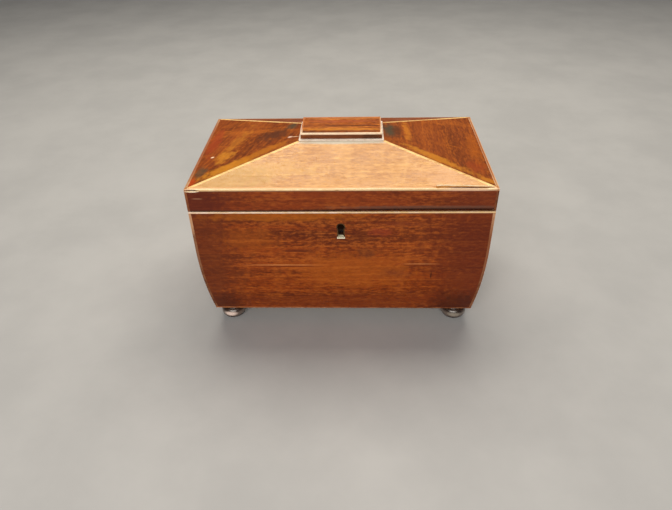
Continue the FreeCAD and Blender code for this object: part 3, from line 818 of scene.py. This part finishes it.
@dataclass
class Carcass(Assembly):
    """The case: curved walls, base board, string inlay and feet."""

    rim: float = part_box("rim_stringing")[1][2]
    # heights of the painted highlight ring and of the painted shine on the feet
    foot_sheen_height: float = 7.6 * MM
    foot_shine: float = 8.8 * MM

    def build(self) -> None:
        """Dress the walls, the strings and the feet."""
        self._front_wall()
        self._plain_boards()
        self._strings()
        self._feet()

    def _front_wall(self) -> None:
        """Red-brown front with painted shade at its ends, along its foot and above the feet, and
        old veneer splits with painted highlight and shade.
        """
        mark = Patch.on_front
        # dark line of each veneer split, with the painted shade under its lip
        split_and_shade: Rgb = (0.12, 0.020, 0.006)
        # colour of the painted shade above the feet
        grime: Rgb = (0.055, 0.012, 0.005)
        self.dress(Timber("mahogany_front_wall", MAHOGANY, seed=1.3, streaks=0.55, patches=(
            # painted shade: the two ends and the foot of the wall are darkened
            mark("left end", -0.150, 0.090, 0.055, 0.14, (0.125, 0.024, 0.007), 0.7, 1.4),
            mark("right end", 0.155, 0.095, 0.095, 0.15, (0.125, 0.019, 0.006), 0.72, 1.4),
            mark("low shade", 0.0, 0.030, 0.21, 0.020, (0.17, 0.030, 0.008), 0.5, 1.6),
            mark("right foot", 0.130, 0.020, 0.045, 0.034, grime, 0.7, 1.2),
            mark("left foot", -0.134, 0.020, 0.030, 0.030, grime, 0.6, 1.2),
            mark("amber rim", -0.060, 0.1460, 0.110, 0.0075, (0.44, 0.125, 0.008), 0.5, 1.4),
            mark("stain", 0.026, 0.1000, 0.013, 0.0100, (0.11, 0.030, 0.012), 0.55, 1.6),
            mark("low stain", 0.055, 0.0730, 0.024, 0.0100, (0.13, 0.030, 0.014), 0.5, 1.8),
            mark("red bloom", 0.041, 0.1270, 0.018, 0.0070, (0.36, 0.055, 0.020), 0.45, 1.6),
            mark("left glow", -0.095, 0.1180, 0.040, 0.0200, (0.38, 0.090, 0.008), 0.4, 1.8),
            mark("middle glow", 0.010, 0.078, 0.09, 0.034, (0.46, 0.115, 0.012), 0.42, 1.8),
            mark("dark streak", -0.045, 0.1039, 0.026, 0.0022, (0.10, 0.018, 0.007), 0.75),
            # painted highlight on each split's lifted lip, then the split's dark line with
            # painted shade below it
            mark("long lip", -0.062, 0.0852, 0.052, 0.0008, (0.75, 0.30, 0.10), 0.8, 0.3),
            mark("long split", -0.062, 0.0834, 0.056, 0.0009, split_and_shade, 0.8, 0.3),
            mark("short lip", 0.083, 0.0868, 0.026, 0.0008, (0.62, 0.25, 0.09), 0.7, 0.3),
            mark("short split", 0.083, 0.0850, 0.028, 0.0009, split_and_shade, 0.8, 0.3),
            mark("nick", 0.0954, 0.0710, 0.0009, 0.0075, (0.05, 0.012, 0.005), 0.9, 0.3),
            mark("rim streak", 0.060, 0.137, 0.035, 0.004, (0.22, 0.042, 0.012), 0.5),
        )), "front_wall")

    def _plain_boards(self) -> None:
        """Side and back walls, and the boards of plain pine."""
        low = Patch("low shade", (0.0, 0.0, 0.025), (0.5, 0.5, 0.030), MAHOGANY.dark, 0.5)
        self.dress(Timber("mahogany_side_walls", MAHOGANY, Along.Y, seed=4.1, streaks=0.42,
                          flame=0.22, patches=(low,)), "left_wall", "right_wall")
        self.dress(Timber("mahogany_back_wall", MAHOGANY, seed=7.7, streaks=0.42,
                          flame=0.14), "back_wall")
        self.dress(Timber("pine_base_board", PINE, seed=2.2, streaks=0.5, flame=0.0, pores=0.2,
                          roughness=0.7, specular=0.2),
                   "base_board", "bowl_floor_board", "bowl_floor_cleats")

    def _strings(self) -> None:
        """Pale rim line with painted shade on its top in the seam, tan corner lines and a
        reddened base line.
        """
        wood: Rgb = (0.17, 0.034, 0.008)
        below = Patch("wood below", (0.0, FRONT, self.rim - 2.4 * MM), (0.60, 0.01, 1.0 * MM),
                      wood, 1.0, 0.1)
        # painted shade: the top face of the rim string in the seam under the lid is darkened
        behind = Patch("seam shade", (0.0, FRONT + 1.6 * MM, self.rim + 0.4 * MM),
                       (0.60, 1.8 * MM, 0.9 * MM), wood, 1.0, 0.1)
        self.dress(Timber(
            "boxwood_rim_string", Tones((1.0, 0.88, 0.78), (1.0, 0.79, 0.66), STRING_BODY),
            seed=3.0, streaks=0.15, flame=0.0, pores=0.1, relief=0.08,
            patches=(below, behind)), "rim_stringing")
        tan = Tones((0.36, 0.17, 0.08), (0.24, 0.088, 0.036), (0.12, 0.034, 0.013))
        self.dress(Timber(
            "boxwood_corner_string", tan, Along.Z, seed=5.0, streaks=0.4, pores=0.3, patches=(
                Patch("pale top", (0.0, 0.0, 0.152), (0.60, 0.60, 0.040), (0.62, 0.34, 0.19),
                      0.85, 0.8),
                Patch("paler middle", (0.0, 0.0, 0.100), (0.60, 0.60, 0.030),
                      (0.44, 0.22, 0.12), 0.35, 1.8),
                Patch("right shade", (0.145, FRONT, 0.108), (0.030, 0.030, 0.046),
                      (0.26, 0.085, 0.034), 0.75, 0.8),
            )), "case_corner_stringing")
        red = Tones((0.60, 0.27, 0.11), (0.42, 0.13, 0.045), (0.14, 0.035, 0.012))
        self.dress(Timber("boxwood_base_string", red, seed=6.0, streaks=0.4, flame=0.3,
                          pores=0.3), "base_stringing")

    def _feet(self) -> None:
        """Dark stained turned wood with a hard polish, and painted highlights low on the buns: a
        pale ring, and a shine on each front foot.
        """
        black = Tones((0.10, 0.050, 0.030), (0.030, 0.013, 0.008), (0.010, 0.005, 0.003))
        self.dress(Timber(
            "dark_stained_feet", black, Along.Z, seed=2.7, streaks=0.4, flame=0.1,
            roughness=0.26, specular=0.7, coat=0.5, patches=(
                # painted highlights: light caught on the lower rim of each bun foot
                Patch("sheen ring", (0.0, 0.0, self.foot_sheen_height), (0.60, 0.60, 3.6 * MM),
                      (0.46, 0.36, 0.30), 0.28),
                Patch("left shine", (-0.130, -0.083, self.foot_shine),
                      (12.0 * MM, 10.0 * MM, 3.6 * MM), (0.95, 0.76, 0.68), 0.95, 0.5),
                Patch("right shine", (0.126, -0.083, self.foot_shine),
                      (12.0 * MM, 10.0 * MM, 3.4 * MM), (0.36, 0.32, 0.26), 0.7, 0.5),
            )), "foot_front_left", "foot_front_right", "foot_back_left", "foot_back_right")


@dataclass
class Interior(Assembly):
    """Partitions, compartment lids, linings and the mixing bowl with its boards."""

    def build(self) -> None:
        """Dress everything inside the case."""
        plain = Tones((0.50, 0.22, 0.09), (0.34, 0.115, 0.042), (0.19, 0.055, 0.020))
        self.dress(Timber("plain_inner_mahogany", plain, Along.Y, seed=8.0, flame=0.1,
                          roughness=0.45),
                   "partition_left", "partition_right", "ledges_left_cell",
                   "ledges_right_cell", "ledges_bowl_well", "bowl_ring_board")
        figured = Tones((0.62, 0.26, 0.09), (0.40, 0.125, 0.038), (0.22, 0.060, 0.020))
        self.dress(Timber("figured_inner_lids", figured, Along.Y, seed=9.5, flame=0.45,
                          roughness=0.36), "inner_lid_left", "inner_lid_right")
        self.dress(Foil(), "foil_lining_left", "foil_lining_right")
        self.dress(Bone(), "inner_lid_knob_left", "inner_lid_knob_right")
        self.dress(Glass(), "mixing_bowl")


@dataclass
class Hardware(Assembly):
    """Lock, link plate, escutcheon and hinges."""

    def build(self) -> None:
        """Dress the metal parts; where the keyhole shows them they are painted dark with shade,
        and the keyhole's sill has a painted highlight.
        """
        low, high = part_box("keyhole_escutcheon")
        x, y, z = (low + high) / 2
        self.dress(Metal("aged_brass", BRASS, BRASS_TARNISH),
                   "hinge_left_box_leaf", "hinge_left_lid_leaf", "hinge_right_box_leaf",
                   "hinge_right_lid_leaf", "hinge_box_screws", "hinge_lid_screws",
                   "lock_screws", "link_plate", "link_screws")
        self.dress(Metal("dull_steel", STEEL, RUST, 0.42, 0.7),
                   "lock_bolt", "hinge_left_pin", "hinge_right_pin", "cap_screws")
        # painted shade: the lock cover and drill pin seen through the keyhole are darkened
        soot = Patch("soot", (x, y, z), (0.016, 0.030, 0.020), (0.030, 0.012, 0.006), 1.0, 0.3)
        self.dress(Metal("shaded_steel_lock", STEEL, RUST, 0.5, 0.7, 0.05, (soot,)),
                   "lock_cover", "lock_drill_pin")
        # painted shade inside the keyhole, on the lock case
        gloom = Patch("gloom", (0.0, y + 2.0 * MM, z), (0.014, 0.007, 0.020),
                      (0.022, 0.009, 0.005), 1.0, 0.1)
        self.dress(Metal("aged_brass_lock_case", BRASS, BRASS_TARNISH, 0.45, specular=0.05,
                         patches=(gloom,)), "lock_case")
        # painted highlight on the keyhole's lower lip, where it catches light; the rest of the
        # liner is dark from tarnish and painted shade
        sill = Patch("sill highlight", (x, y, low.z), (0.010, 0.02, 0.0034), (1.0, 0.95, 0.72),
                     1.0, 0.15)
        self.dress(Metal("tarnished_shaded_keyhole_liner", (0.22, 0.12, 0.05), (0.04, 0.020, 0.010),
                         0.45, 1.0, patches=(sill,)), "keyhole_escutcheon")


@dataclass(frozen=True)
class Strand:
    """A loose length of string along the front of the eave."""

    start: float
    end: float
    depth: float
    height: float
    margin: float
    step: float

    def bar(self) -> bmesh.types.BMesh:
        """Make the straight sliced bar that the strand is bent from.

        Returns:
            The bar, with its middle on the X axis.
        """
        bm = bmesh.new()
        bmesh.ops.create_cube(bm, size=1.0)
        bmesh.ops.scale(bm, verts=bm.verts,
                        vec=(self.end - self.start, self.depth, self.height))
        bmesh.ops.translate(bm, verts=bm.verts, vec=((self.start + self.end) / 2, 0.0, 0.0))
        slice_along(bm, self.start + self.margin, self.end - self.margin, self.step)
        return bm

    def share(self, x: float) -> float:
        """How far along the strand a place is, from 0 to 1."""
        return (x - self.start) / (self.end - self.start)


@dataclass(frozen=True)
class SprungStrand(Strand):
    """Upper strand of the string, sprung from its groove and kinked at one end."""

    slope: float = 21.0 / 64.0
    clearance: float = 0.25 * MM
    kink: float = 0.9 * MM
    kink_fade: float = 14.0
    ripple: float = 0.25 * MM
    ripple_turns: float = 9.0
    inset: float = 4.1 * MM
    inset_drift: float = 1.6 * MM
    hook: float = 1.2 * MM
    hook_fade: float = 20.0

    def mesh(self, eave: float) -> bmesh.types.BMesh:
        """Bend the strand over the front slope.

        Args:
            eave: height of the eave.

        Returns:
            The bent strand.
        """
        bm = self.bar()
        for vert in bm.verts:
            along = self.share(vert.co.x)
            rise = (self.kink * math.exp(-along * self.kink_fade)
                    + self.ripple * math.sin(along * self.ripple_turns) ** 2)
            inset = (self.inset - self.inset_drift * along ** 2
                     - self.hook * math.exp(-along * self.hook_fade))
            vert.co.z += eave + inset * self.slope + self.clearance + rise
            vert.co.y += FRONT + inset
        ease(bm, 0.12 * MM, 1)
        return bm


@dataclass(frozen=True)
class LiftedCorner(Strand):
    """Lens-shaped bit of the string that stands off the corner."""

    drop: float = 1.8 * MM
    half_height: float = 0.75 * MM
    proud: float = 0.25 * MM
    bulge: float = 0.35 * MM
    blunt: float = 0.04

    def mesh(self, eave: float) -> bmesh.types.BMesh:
        """Swell the strand in its middle, whatever the height of its bar.

        Args:
            eave: height of the eave.

        Returns:
            The swollen strand.
        """
        bm = self.bar()
        for vert in bm.verts:
            along = min(max(self.share(vert.co.x), self.blunt), 1.0 - self.blunt)
            swell = math.sin(math.pi * along)
            vert.co.z = eave - self.drop + math.copysign(self.half_height * swell, vert.co.z)
            vert.co.y += FRONT - self.proud - self.bulge * swell
        return bm


@dataclass
class Lid(Assembly):
    """Band rails, four slopes, cap and the lid's strings."""

    band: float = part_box("lid_front_rail")[0][2]
    eave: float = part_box("eave_stringing")[0][2] + 2.4 * MM
    rub_start: float = -0.06
    rub_end: float = 0.08
    rub_height: float = 1.5 * MM
    rub_least: float = 0.1
    band_cuts: Point = (-0.15, 0.15, 0.012)
    string_cuts: Point = (-0.147, 0.147, 0.006)
    wave_height: float = 0.08 * MM
    wave_reach: float = 0.146
    string_depth: float = 3.2 * MM
    groove_depth: float = 2.5 * MM
    broken_from: float = 0.091
    broken_depth: float = 0.6 * MM
    sprung: SprungStrand = SprungStrand(0.0925, 0.1475, 1.2 * MM, 0.8 * MM, 2.0 * MM, 3.0 * MM)
    lifted: LiftedCorner = LiftedCorner(-0.1521, -0.1375, 0.7 * MM, 1.0, 1.0 * MM, 1.3 * MM)

    def build(self) -> None:
        """Dress the rails and slopes, and make the cap and the eave's inlay."""
        self._front_band()
        self._other_bands()
        self._front_and_back_slopes()
        self._left_slope()
        self._right_slope()
        self._cap()
        self._eave_string()
        self._loose_strands()
        self._other_strings()
        self._inside()

    def _slope_mark(self, mark: str, x: float, y: float, wide: float, deep: float,
                    colour: Rgb, strength: float = 0.6, ragged: float = 0.9,
                    turn: float = 0.0) -> Patch:
        """Mark on a side slope, placed from above and as tall as the slope."""
        return Patch(mark, (x, y, self.eave), (wide, deep, 0.05), colour, strength, ragged, turn)

    def _front_band(self) -> None:
        """Front rail, with its lower edge rubbed away towards the right, painted shadow in the
        gap along that edge and a painted grey reflection on its right half.
        """
        line = self.band
        wood = Timber("mahogany_front_band", BAND_WOOD, seed=11.3, streaks=0.35,
                      flame=0.12, patches=(
            Patch("left end", (-0.150, FRONT, 0.164), (0.060, 0.03, 0.03),
                  (0.10, 0.015, 0.008), 0.8, 1.2),
            Patch("right end", (0.158, FRONT, 0.168), (0.07, 0.03, 0.03),
                  (0.16, 0.028, 0.010), 0.6, 1.4),
            # painted reflection: a grey strip on the band's right half
            Patch("grey band reflection", (0.085, FRONT, 0.1566), (0.13, 0.005, 0.0026),
                  (0.13, 0.065, 0.045), 0.7),
            # painted shadow in the gap under the rail, deepest towards the right where the edge
            # is lifted
            Patch("gap", (0.0, FRONT, line), (0.40, 0.005, 0.0018), GRIME_AND_SHADE, 0.9, 0.2),
            Patch("deep gap shade", (0.095, FRONT, line), (0.20, 0.005, 0.0042),
                  (0.008, 0.004, 0.003), 1.0, 0.2),
            Patch("scratch", (-0.141, FRONT, 0.1668), (0.0075, 0.02, 0.0010),
                  (0.42, 0.20, 0.11), 0.55),
        )).material(self.fx)
        bm = cad_mesh("lid_front_rail")
        slice_along(bm, *self.band_cuts)
        for vert in bm.verts:
            if vert.co.z < line + 0.2 * MM and vert.co.y < FRONT + 0.2 * MM:
                share = (vert.co.x - self.rub_start) / (self.rub_end - self.rub_start)
                vert.co.z += self.rub_height * min(max(share, self.rub_least), 1.0)
        finish_piece(bm, "eased_front_band", wood, "lid", Slot.MAHOGANY, "lid_front_rail")

    def _other_bands(self) -> None:
        """Side rails and back rail."""
        self.dress(Timber("mahogany_side_bands", BAND_WOOD, Along.Y, seed=12.9, streaks=0.35,
                          flame=0.12), "lid_left_rail", "lid_right_rail")
        self.dress(Timber("mahogany_back_band", BAND_WOOD, seed=14.2, streaks=0.35,
                          flame=0.12), "lid_back_rail")

    def _front_and_back_slopes(self) -> None:
        """Front slope in pale tones that carry part of its sheen as painted light, with a
        painted grey highlight below the cap, and plain back slope.
        """
        z = self.eave
        # pale tones: part of the slope's warm sheen of light is painted into its colour
        faded = Tones((0.78, 0.42, 0.12), (0.58, 0.26, 0.060), (0.42, 0.165, 0.038))
        self.dress(Timber(
            "sheen_painted_front_slope", faded, seed=21.0, streaks=0.7, flame=0.4, roughness=0.32,
            specular=0.44, patches=(
                # painted highlight: a greyish band on the slope just below the cap fillet
                Patch("grey sheen", (0.002, -0.0262, 0.1974), (0.075, 0.0042, 0.01),
                      (0.60, 0.56, 0.47), 0.95, 0.4),
                Patch("right cloud", (0.112, -0.070, z), (0.045, 0.020, 0.02),
                      (0.70, 0.36, 0.15), 0.5, 1.6),
                Patch("amber cloud", (-0.070, -0.062, z), (0.075, 0.016, 0.03),
                      (0.70, 0.38, 0.08), 0.5, 1.8),
                Patch("left cloud", (-0.112, -0.074, z), (0.060, 0.026, 0.03),
                      (0.48, 0.25, 0.030), 0.7, 1.4),
            )), "lid_front_slope")
        brown = Tones((0.46, 0.13, 0.024), (0.28, 0.062, 0.010), (0.13, 0.028, 0.007))
        self.dress(Timber("mahogany_back_slope", brown, seed=22.0, streaks=0.5, flame=0.4,
                          roughness=0.42, specular=0.08), "lid_back_slope")

    def _left_slope(self) -> None:
        """Flame-figured left slope with gold feathers, soot and chips by the hip."""
        mark = self._slope_mark
        gold: Rgb = (0.68, 0.27, 0.025)
        soot: Rgb = (0.075, 0.060, 0.035)
        wood = Tones((0.54, 0.145, 0.014), (0.25, 0.053, 0.008), (0.14, 0.030, 0.006))
        self.dress(Timber(
            "flamed_left_slope", wood, Along.Y, lean=0.35, seed=23.4, flame=0.55,
            specular=0.12, patches=(
                mark("back feather", -0.114, 0.004, 0.010, 0.046, gold, 0.28, 2.2, 0.32),
                mark("feather", -0.122, -0.028, 0.012, 0.022, gold, 0.55, 2.0, 0.1),
                mark("hip gold", -0.114, -0.056, 0.044, 0.011, (0.68, 0.27, 0.020), 0.7, 1.4,
                     -0.54),
                mark("high gold", -0.080, -0.033, 0.044, 0.009, (0.46, 0.15, 0.012), 0.75, 1.4,
                     -0.54),
                mark("eave soot", -0.1417, -0.056, 0.009, 0.016, soot, 0.7, 1.4, -0.1),
                mark("corner", -0.149, -0.077, 0.008, 0.014, (0.46, 0.055, 0.005), 0.8),
                mark("shade", -0.072, 0.004, 0.026, 0.020, (0.10, 0.030, 0.012), 0.85, 1.6),
                mark("high soot", -0.054, 0.019, 0.010, 0.012, soot, 0.9),
                mark("russet", -0.141, 0.012, 0.010, 0.050, (0.34, 0.050, 0.010), 0.75, 1.6),
                Patch("chip", (-0.1366, -0.025, self.eave), (0.0027, 0.0022, 0.02),
                      (1.0, 0.72, 0.50), 1.0, 0.3),
                Patch("high chip", (-0.0546, -0.0097, 0.196), (0.0034, 0.0026, 0.02),
                      (0.80, 0.56, 0.46), 0.95, 0.4),
                Patch("scrape", (-0.0490, -0.0112, 0.196), (0.0065, 0.0010, 0.02),
                      (0.80, 0.56, 0.36), 0.85, 0.4, 0.25),
            )), "lid_left_slope")

    def _right_slope(self) -> None:
        """Flame-figured right slope with gold feathers and a sooty top."""
        mark = self._slope_mark
        gold: Rgb = (0.68, 0.27, 0.025)
        wood = Tones((0.54, 0.145, 0.016), (0.28, 0.064, 0.011), (0.15, 0.034, 0.008))
        self.dress(Timber(
            "flamed_right_slope", wood, Along.Y, seed=25.6, flame=0.4, specular=0.12, patches=(
                mark("feather", 0.070, 0.010, 0.0060, 0.036, (0.60, 0.20, 0.020), 0.65, 1.6,
                     -0.07),
                mark("hip gold", 0.094, -0.043, 0.052, 0.0085, gold, 0.6, 1.6, 0.54),
                mark("corner gold", 0.146, -0.076, 0.016, 0.006, gold, 0.5, 1.4, 0.54),
                mark("soot", 0.0515, 0.006, 0.0125, 0.024, (0.075, 0.060, 0.035), 0.95, 1.1),
                mark("shade", 0.060, 0.006, 0.008, 0.022, (0.10, 0.030, 0.012), 0.75, 1.4),
                mark("amber", 0.142, -0.002, 0.010, 0.052, (0.44, 0.110, 0.010), 0.55, 1.8),
                mark("russet", 0.137, -0.048, 0.015, 0.018, (0.34, 0.050, 0.010), 0.45, 1.6),
            )), "lid_right_slope")

    def _cap(self) -> None:
        """Striped cap block on its pale fillet, with a string round its top."""
        low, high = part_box("cap_block")
        top, face, middle = high.z, low.y, (low.z + high.z) / 2
        striped = Tones((0.68, 0.22, 0.035), (0.34, 0.078, 0.010), (0.13, 0.034, 0.008))
        wood = Timber(
            "striped_cap", striped, seed=31.0, streaks=0.95, flame=0.1, coarseness=0.8,
            roughness=0.30, specular=0.24, patches=(
                Patch("gold stripe", (0.0, -0.0125, top), (0.060, 0.0042, 0.01),
                      (0.60, 0.22, 0.022), 0.75),
                Patch("dark stripe", (0.004, -0.0045, top), (0.050, 0.0022, 0.01),
                      (0.12, 0.032, 0.010), 0.8, 0.6),
                Patch("back stripe", (0.0, 0.0155, top), (0.060, 0.0020, 0.01),
                      (0.60, 0.24, 0.07), 0.6, 0.6),
                Patch("red stripe", (0.0, 0.008, top), (0.050, 0.0050, 0.01),
                      (0.42, 0.10, 0.035), 0.6, 1.0),
                Patch("dark face", (0.0, face, middle), (0.080, 0.0030, 0.03),
                      (0.13, 0.036, 0.014), 0.85, 0.4),
                Patch("dirt", (0.030, face, middle), (0.014, 0.0030, 0.03), GRIME_AND_SHADE, 0.7, 0.8),
            )).material(self.fx)
        amber: Rgb = (0.50, 0.15, 0.035)
        line = Timber(
            "boxwood_cap_string", Tones((1.0, 0.88, 0.72), (1.0, 0.82, 0.62), STRING_DARK),
            seed=32.0, streaks=0.2, flame=0.0, pores=0.1, relief=0.08, patches=(
                Patch("left", (-0.0412, 0.004, 0.205), (0.004, 0.030, 0.02), amber, 0.95, 0.3),
                Patch("right", (0.0404, 0.006, 0.205), (0.0017, 0.034, 0.02),
                      (0.48, 0.15, 0.035), 0.95, 0.2),
                Patch("back", (0.0, 0.0206, 0.205), (0.12, 0.004, 0.02), amber, 0.9, 0.3),
            )).material(self.fx)
        fillet = Timber(
            "pale_cap_fillet", Tones((1.0, 0.95, 0.88), (1.0, 0.92, 0.84), (0.75, 0.62, 0.50)),
            seed=33.0, streaks=0.3, flame=0.0, pores=0.2).material(self.fx)
        for node, name, material, slot, width, segments in (
                ("cap_block", "striped_cap_block", wood, Slot.MAHOGANY, 0.35 * MM, 2),
                ("cap_stringing", "eased_cap_string", line, Slot.STRING, 0.3 * MM, 2),
                ("cap_base_fillet", "eased_cap_fillet", fillet, Slot.STRING, 0.75 * MM, 3)):
            bm = cad_mesh(node)
            ease(bm, width, segments)
            finish_piece(bm, name, material, "lid", slot, node)

    def _wave(self, x: float) -> float:
        """Rise of the eave string's slight wave at a place along it."""
        return self.wave_height * (math.sin(x * 71.0) + 0.6 * math.sin(x * 163.0 + 1.0))

    def _eave_string(self) -> None:
        """Eave string, slightly wavy, and sunk where its upper strand has sprung, with painted
        shade in the gap above the lifted corner.
        """
        z = self.eave
        pale = Tones((1.0, 0.88, 0.56), (1.0, 0.80, 0.46), STRING_BODY)
        line = Timber(
            "boxwood_eave_string", pale, seed=41.0, streaks=0.25, flame=0.1, pores=0.15,
            relief=0.08, specular=0.5, patches=(
                Patch("slope veneer", (0.0, FRONT + 3.0 * MM, z + 1.0 * MM),
                      (0.60, 2.6 * MM, 3.0 * MM), (0.64, 0.29, 0.075), 1.0, 0.2),
                Patch("band veneer", (0.0, FRONT, z - 2.5 * MM), (0.60, 2.0 * MM, 1.5 * MM),
                      (0.20, 0.050, 0.014), 1.0, 0.1),
                Patch("rubbed", (0.122, FRONT, z - 1.0 * MM), (0.034, 2.0 * MM, 3.0 * MM),
                      (0.86, 0.55, 0.38), 0.6, 0.3),
                Patch("nick", (-0.003, FRONT, 0.1752), (0.003, 0.004, 0.0012),
                      (0.30, 0.12, 0.05), 0.9),
                # painted shade: a dark line in the gap above the lifted corner
                Patch("lifted end shade", (-0.1452, FRONT, 0.1764), (0.0100, 0.004, 0.0010), GRIME_AND_SHADE,
                      1.0, 0.1),
                Patch("groove", (0.122, -0.0868, 0.1776), (0.033, 0.0017, 0.004),
                      (0.10, 0.035, 0.018), 1.0, 0.2),
                Patch("left side", (-HALF_WIDTH, 0.004, z), (0.009, 0.150, 0.03),
                      (0.32, 0.075, 0.018), 0.95, 0.3),
                Patch("right side", (HALF_WIDTH, 0.004, z), (0.009, 0.150, 0.03),
                      (0.66, 0.33, 0.19), 0.75, 0.2),
                Patch("right veneer", (HALF_WIDTH - 1.6 * MM, 0.004, z),
                      (1.5 * MM, 0.150, 0.03), (0.40, 0.11, 0.022), 1.0, 0.2),
                Patch("back", (0.0, 0.0875, z), (0.50, 0.012, 0.03), (0.52, 0.22, 0.09), 0.8),
            )).material(self.fx)
        bm = cad_mesh("eave_stringing")
        slice_along(bm, *self.string_cuts)
        for vert in bm.verts:
            x, y = vert.co.x, vert.co.y - FRONT
            if y < self.string_depth and abs(x) < self.wave_reach:
                vert.co.z += self._wave(x)
                if x > self.broken_from and y > self.groove_depth and vert.co.z > z:
                    vert.co.z -= self.broken_depth
        finish_piece(bm, "eave_string_ring", line, "lid", Slot.STRING, "eave_stringing")

    def _loose_strands(self) -> None:
        """Strand sprung from its groove at the right, and the lifted left corner."""
        pale = Tones((1.0, 0.92, 0.74), (1.0, 0.84, 0.62), STRING_BODY)
        line = Timber("boxwood_sprung_strand", pale, seed=42.0, streaks=0.2, flame=0.0,
                      pores=0.1, relief=0.08, specular=0.5).material(self.fx)
        for strand, name in ((self.sprung, "sprung_string_strand"),
                             (self.lifted, "lifted_string_corner")):
            finish_piece(strand.mesh(self.eave), name, line, "lid", Slot.STRING)

    def _other_strings(self) -> None:
        """Golden hip strings and tan corner strings."""
        golden = Tones((1.0, 0.80, 0.42), (1.0, 0.68, 0.28), (0.62, 0.32, 0.10))
        self.dress(Timber("boxwood_hip_string", golden, seed=43.0, streaks=0.25, flame=0.15,
                          pores=0.15, relief=0.08), "hip_stringing")
        tan = Tones((0.40, 0.17, 0.07), (0.24, 0.075, 0.028), (0.11, 0.030, 0.011))
        self.dress(Timber("boxwood_lid_corner_string", tan, Along.Z, seed=44.0,
                          streaks=0.4), "lid_corner_stringing")

    def _inside(self) -> None:
        """Lining board and crown board under the roof."""
        self.dress(Paper(), "lid_lining_board")
        self.dress(Timber("pine_crown_board", PINE, seed=51.0, flame=0.0, roughness=0.7,
                          specular=0.2), "lid_crown_board")


# ------------------------------------------------------------------ studio
@dataclass(frozen=True)
class Panel:
    """A rectangular soft light aimed at a point."""

    name: str
    place: Point
    target: Point
    size: tuple[float, float]
    power: float
    colour: Rgb

    def light(self) -> None:
        """Hang the light."""
        lamp = bpy.data.lights.new(self.name, "AREA")
        lamp.shape = "RECTANGLE"
        lamp.size, lamp.size_y = self.size
        lamp.energy = self.power
        lamp.color = self.colour
        holder = bpy.data.objects.new(self.name, lamp)
        aim = (Vector(self.target) - Vector(self.place)).to_track_quat("-Z", "Y")
        holder.matrix_world = Matrix.Translation(self.place) @ aim.to_matrix().to_4x4()
        bpy.context.scene.collection.objects.link(holder)


@dataclass
class Studio:
    """Pale floor, soft lights and the camera."""

    eye: Point = (14.8 * MM, -565.0 * MM, 446.2 * MM)
    pitch: float = math.radians(36.08)
    yaw: float = math.radians(-2.45)
    roll: float = math.radians(-1.43)
    lens: float = 30.24
    surround: float = 0.11
    floor_half: float = 4.0
    panels: tuple[Panel, ...] = (
        Panel("ceiling_panel", (0.0, 0.62, 1.50), (0.0, -0.02, 0.18), (1.7, 0.9), 27.0,
              (1.0, 0.91, 0.76)),
        Panel("front_panel", (-0.15, -1.55, 0.95), (0.0, 0.0, 0.10), (1.5, 0.8), 22.0,
              (1.0, 0.93, 0.84)))

    def build(self) -> None:
        """Set the floor, the surround, the lights and the camera."""
        self._floor()
        self._world()
        for panel in self.panels:
            panel.light()
        self._camera()

    def _world(self) -> None:
        """Dim even surround."""
        world = bpy.data.worlds.new("dim_surround")
        world.use_nodes = True
        back = world.node_tree.nodes["Background"]
        back.inputs["Color"].default_value = (1.0, 0.97, 0.93, 1.0)
        back.inputs["Strength"].default_value = self.surround
        bpy.context.scene.world = world
        bpy.context.scene.view_settings.view_transform = "Standard"

    def _floor(self) -> None:
        """Plain pale floor with a faint mottle."""
        g = Coating("pale_floor")
        cloud = g.remap(g.noise(g.place(), 7.0, 5.0, 0.6), 0.3, 0.7)
        g.surface(Base_Color=g.blend(cloud, (0.42, 0.43, 0.45), (0.47, 0.48, 0.50)),
                  Roughness=0.9)
        bm = bmesh.new()
        bmesh.ops.create_grid(bm, x_segments=1, y_segments=1, size=self.floor_half)
        mesh = bpy.data.meshes.new("studio_floor")
        bm.to_mesh(mesh)
        bm.free()
        mesh.materials.append(g.material)
        floor = bpy.data.objects.new("studio_floor", mesh)
        bpy.context.scene.collection.objects.link(floor)

    def _camera(self) -> None:
        """Camera from its place, pitch, yaw and roll."""
        sin, cos = math.sin, math.cos
        ahead = Vector((sin(self.yaw) * cos(self.pitch), cos(self.yaw) * cos(self.pitch),
                        -sin(self.pitch)))
        right = Vector((cos(self.yaw), -sin(self.yaw), 0.0))
        up = right.cross(ahead)
        side = right * cos(self.roll) + up * sin(self.roll)
        top = up * cos(self.roll) - right * sin(self.roll)
        turn = Matrix((side, top, -ahead)).transposed().to_4x4()
        lens = bpy.data.cameras.new("front_camera")
        lens.lens = self.lens
        lens.clip_start = 0.01
        camera = bpy.data.objects.new("front_camera", lens)
        camera.matrix_world = Matrix.Translation(self.eye) @ turn
        bpy.context.scene.collection.objects.link(camera)
        bpy.context.scene.camera = camera


def main() -> None:
    """Build and dress each sub-assembly in order."""
    logging.basicConfig(level=logging.INFO, format="%(name)s: %(message)s")
    fx = Effects()
    for assembly in (Studio(), Carcass(fx), Interior(fx), Hardware(fx), Lid(fx)):
        LOG.info("building %s", type(assembly).__name__)
        assembly.build()


if __name__ == "__main__":
    main()
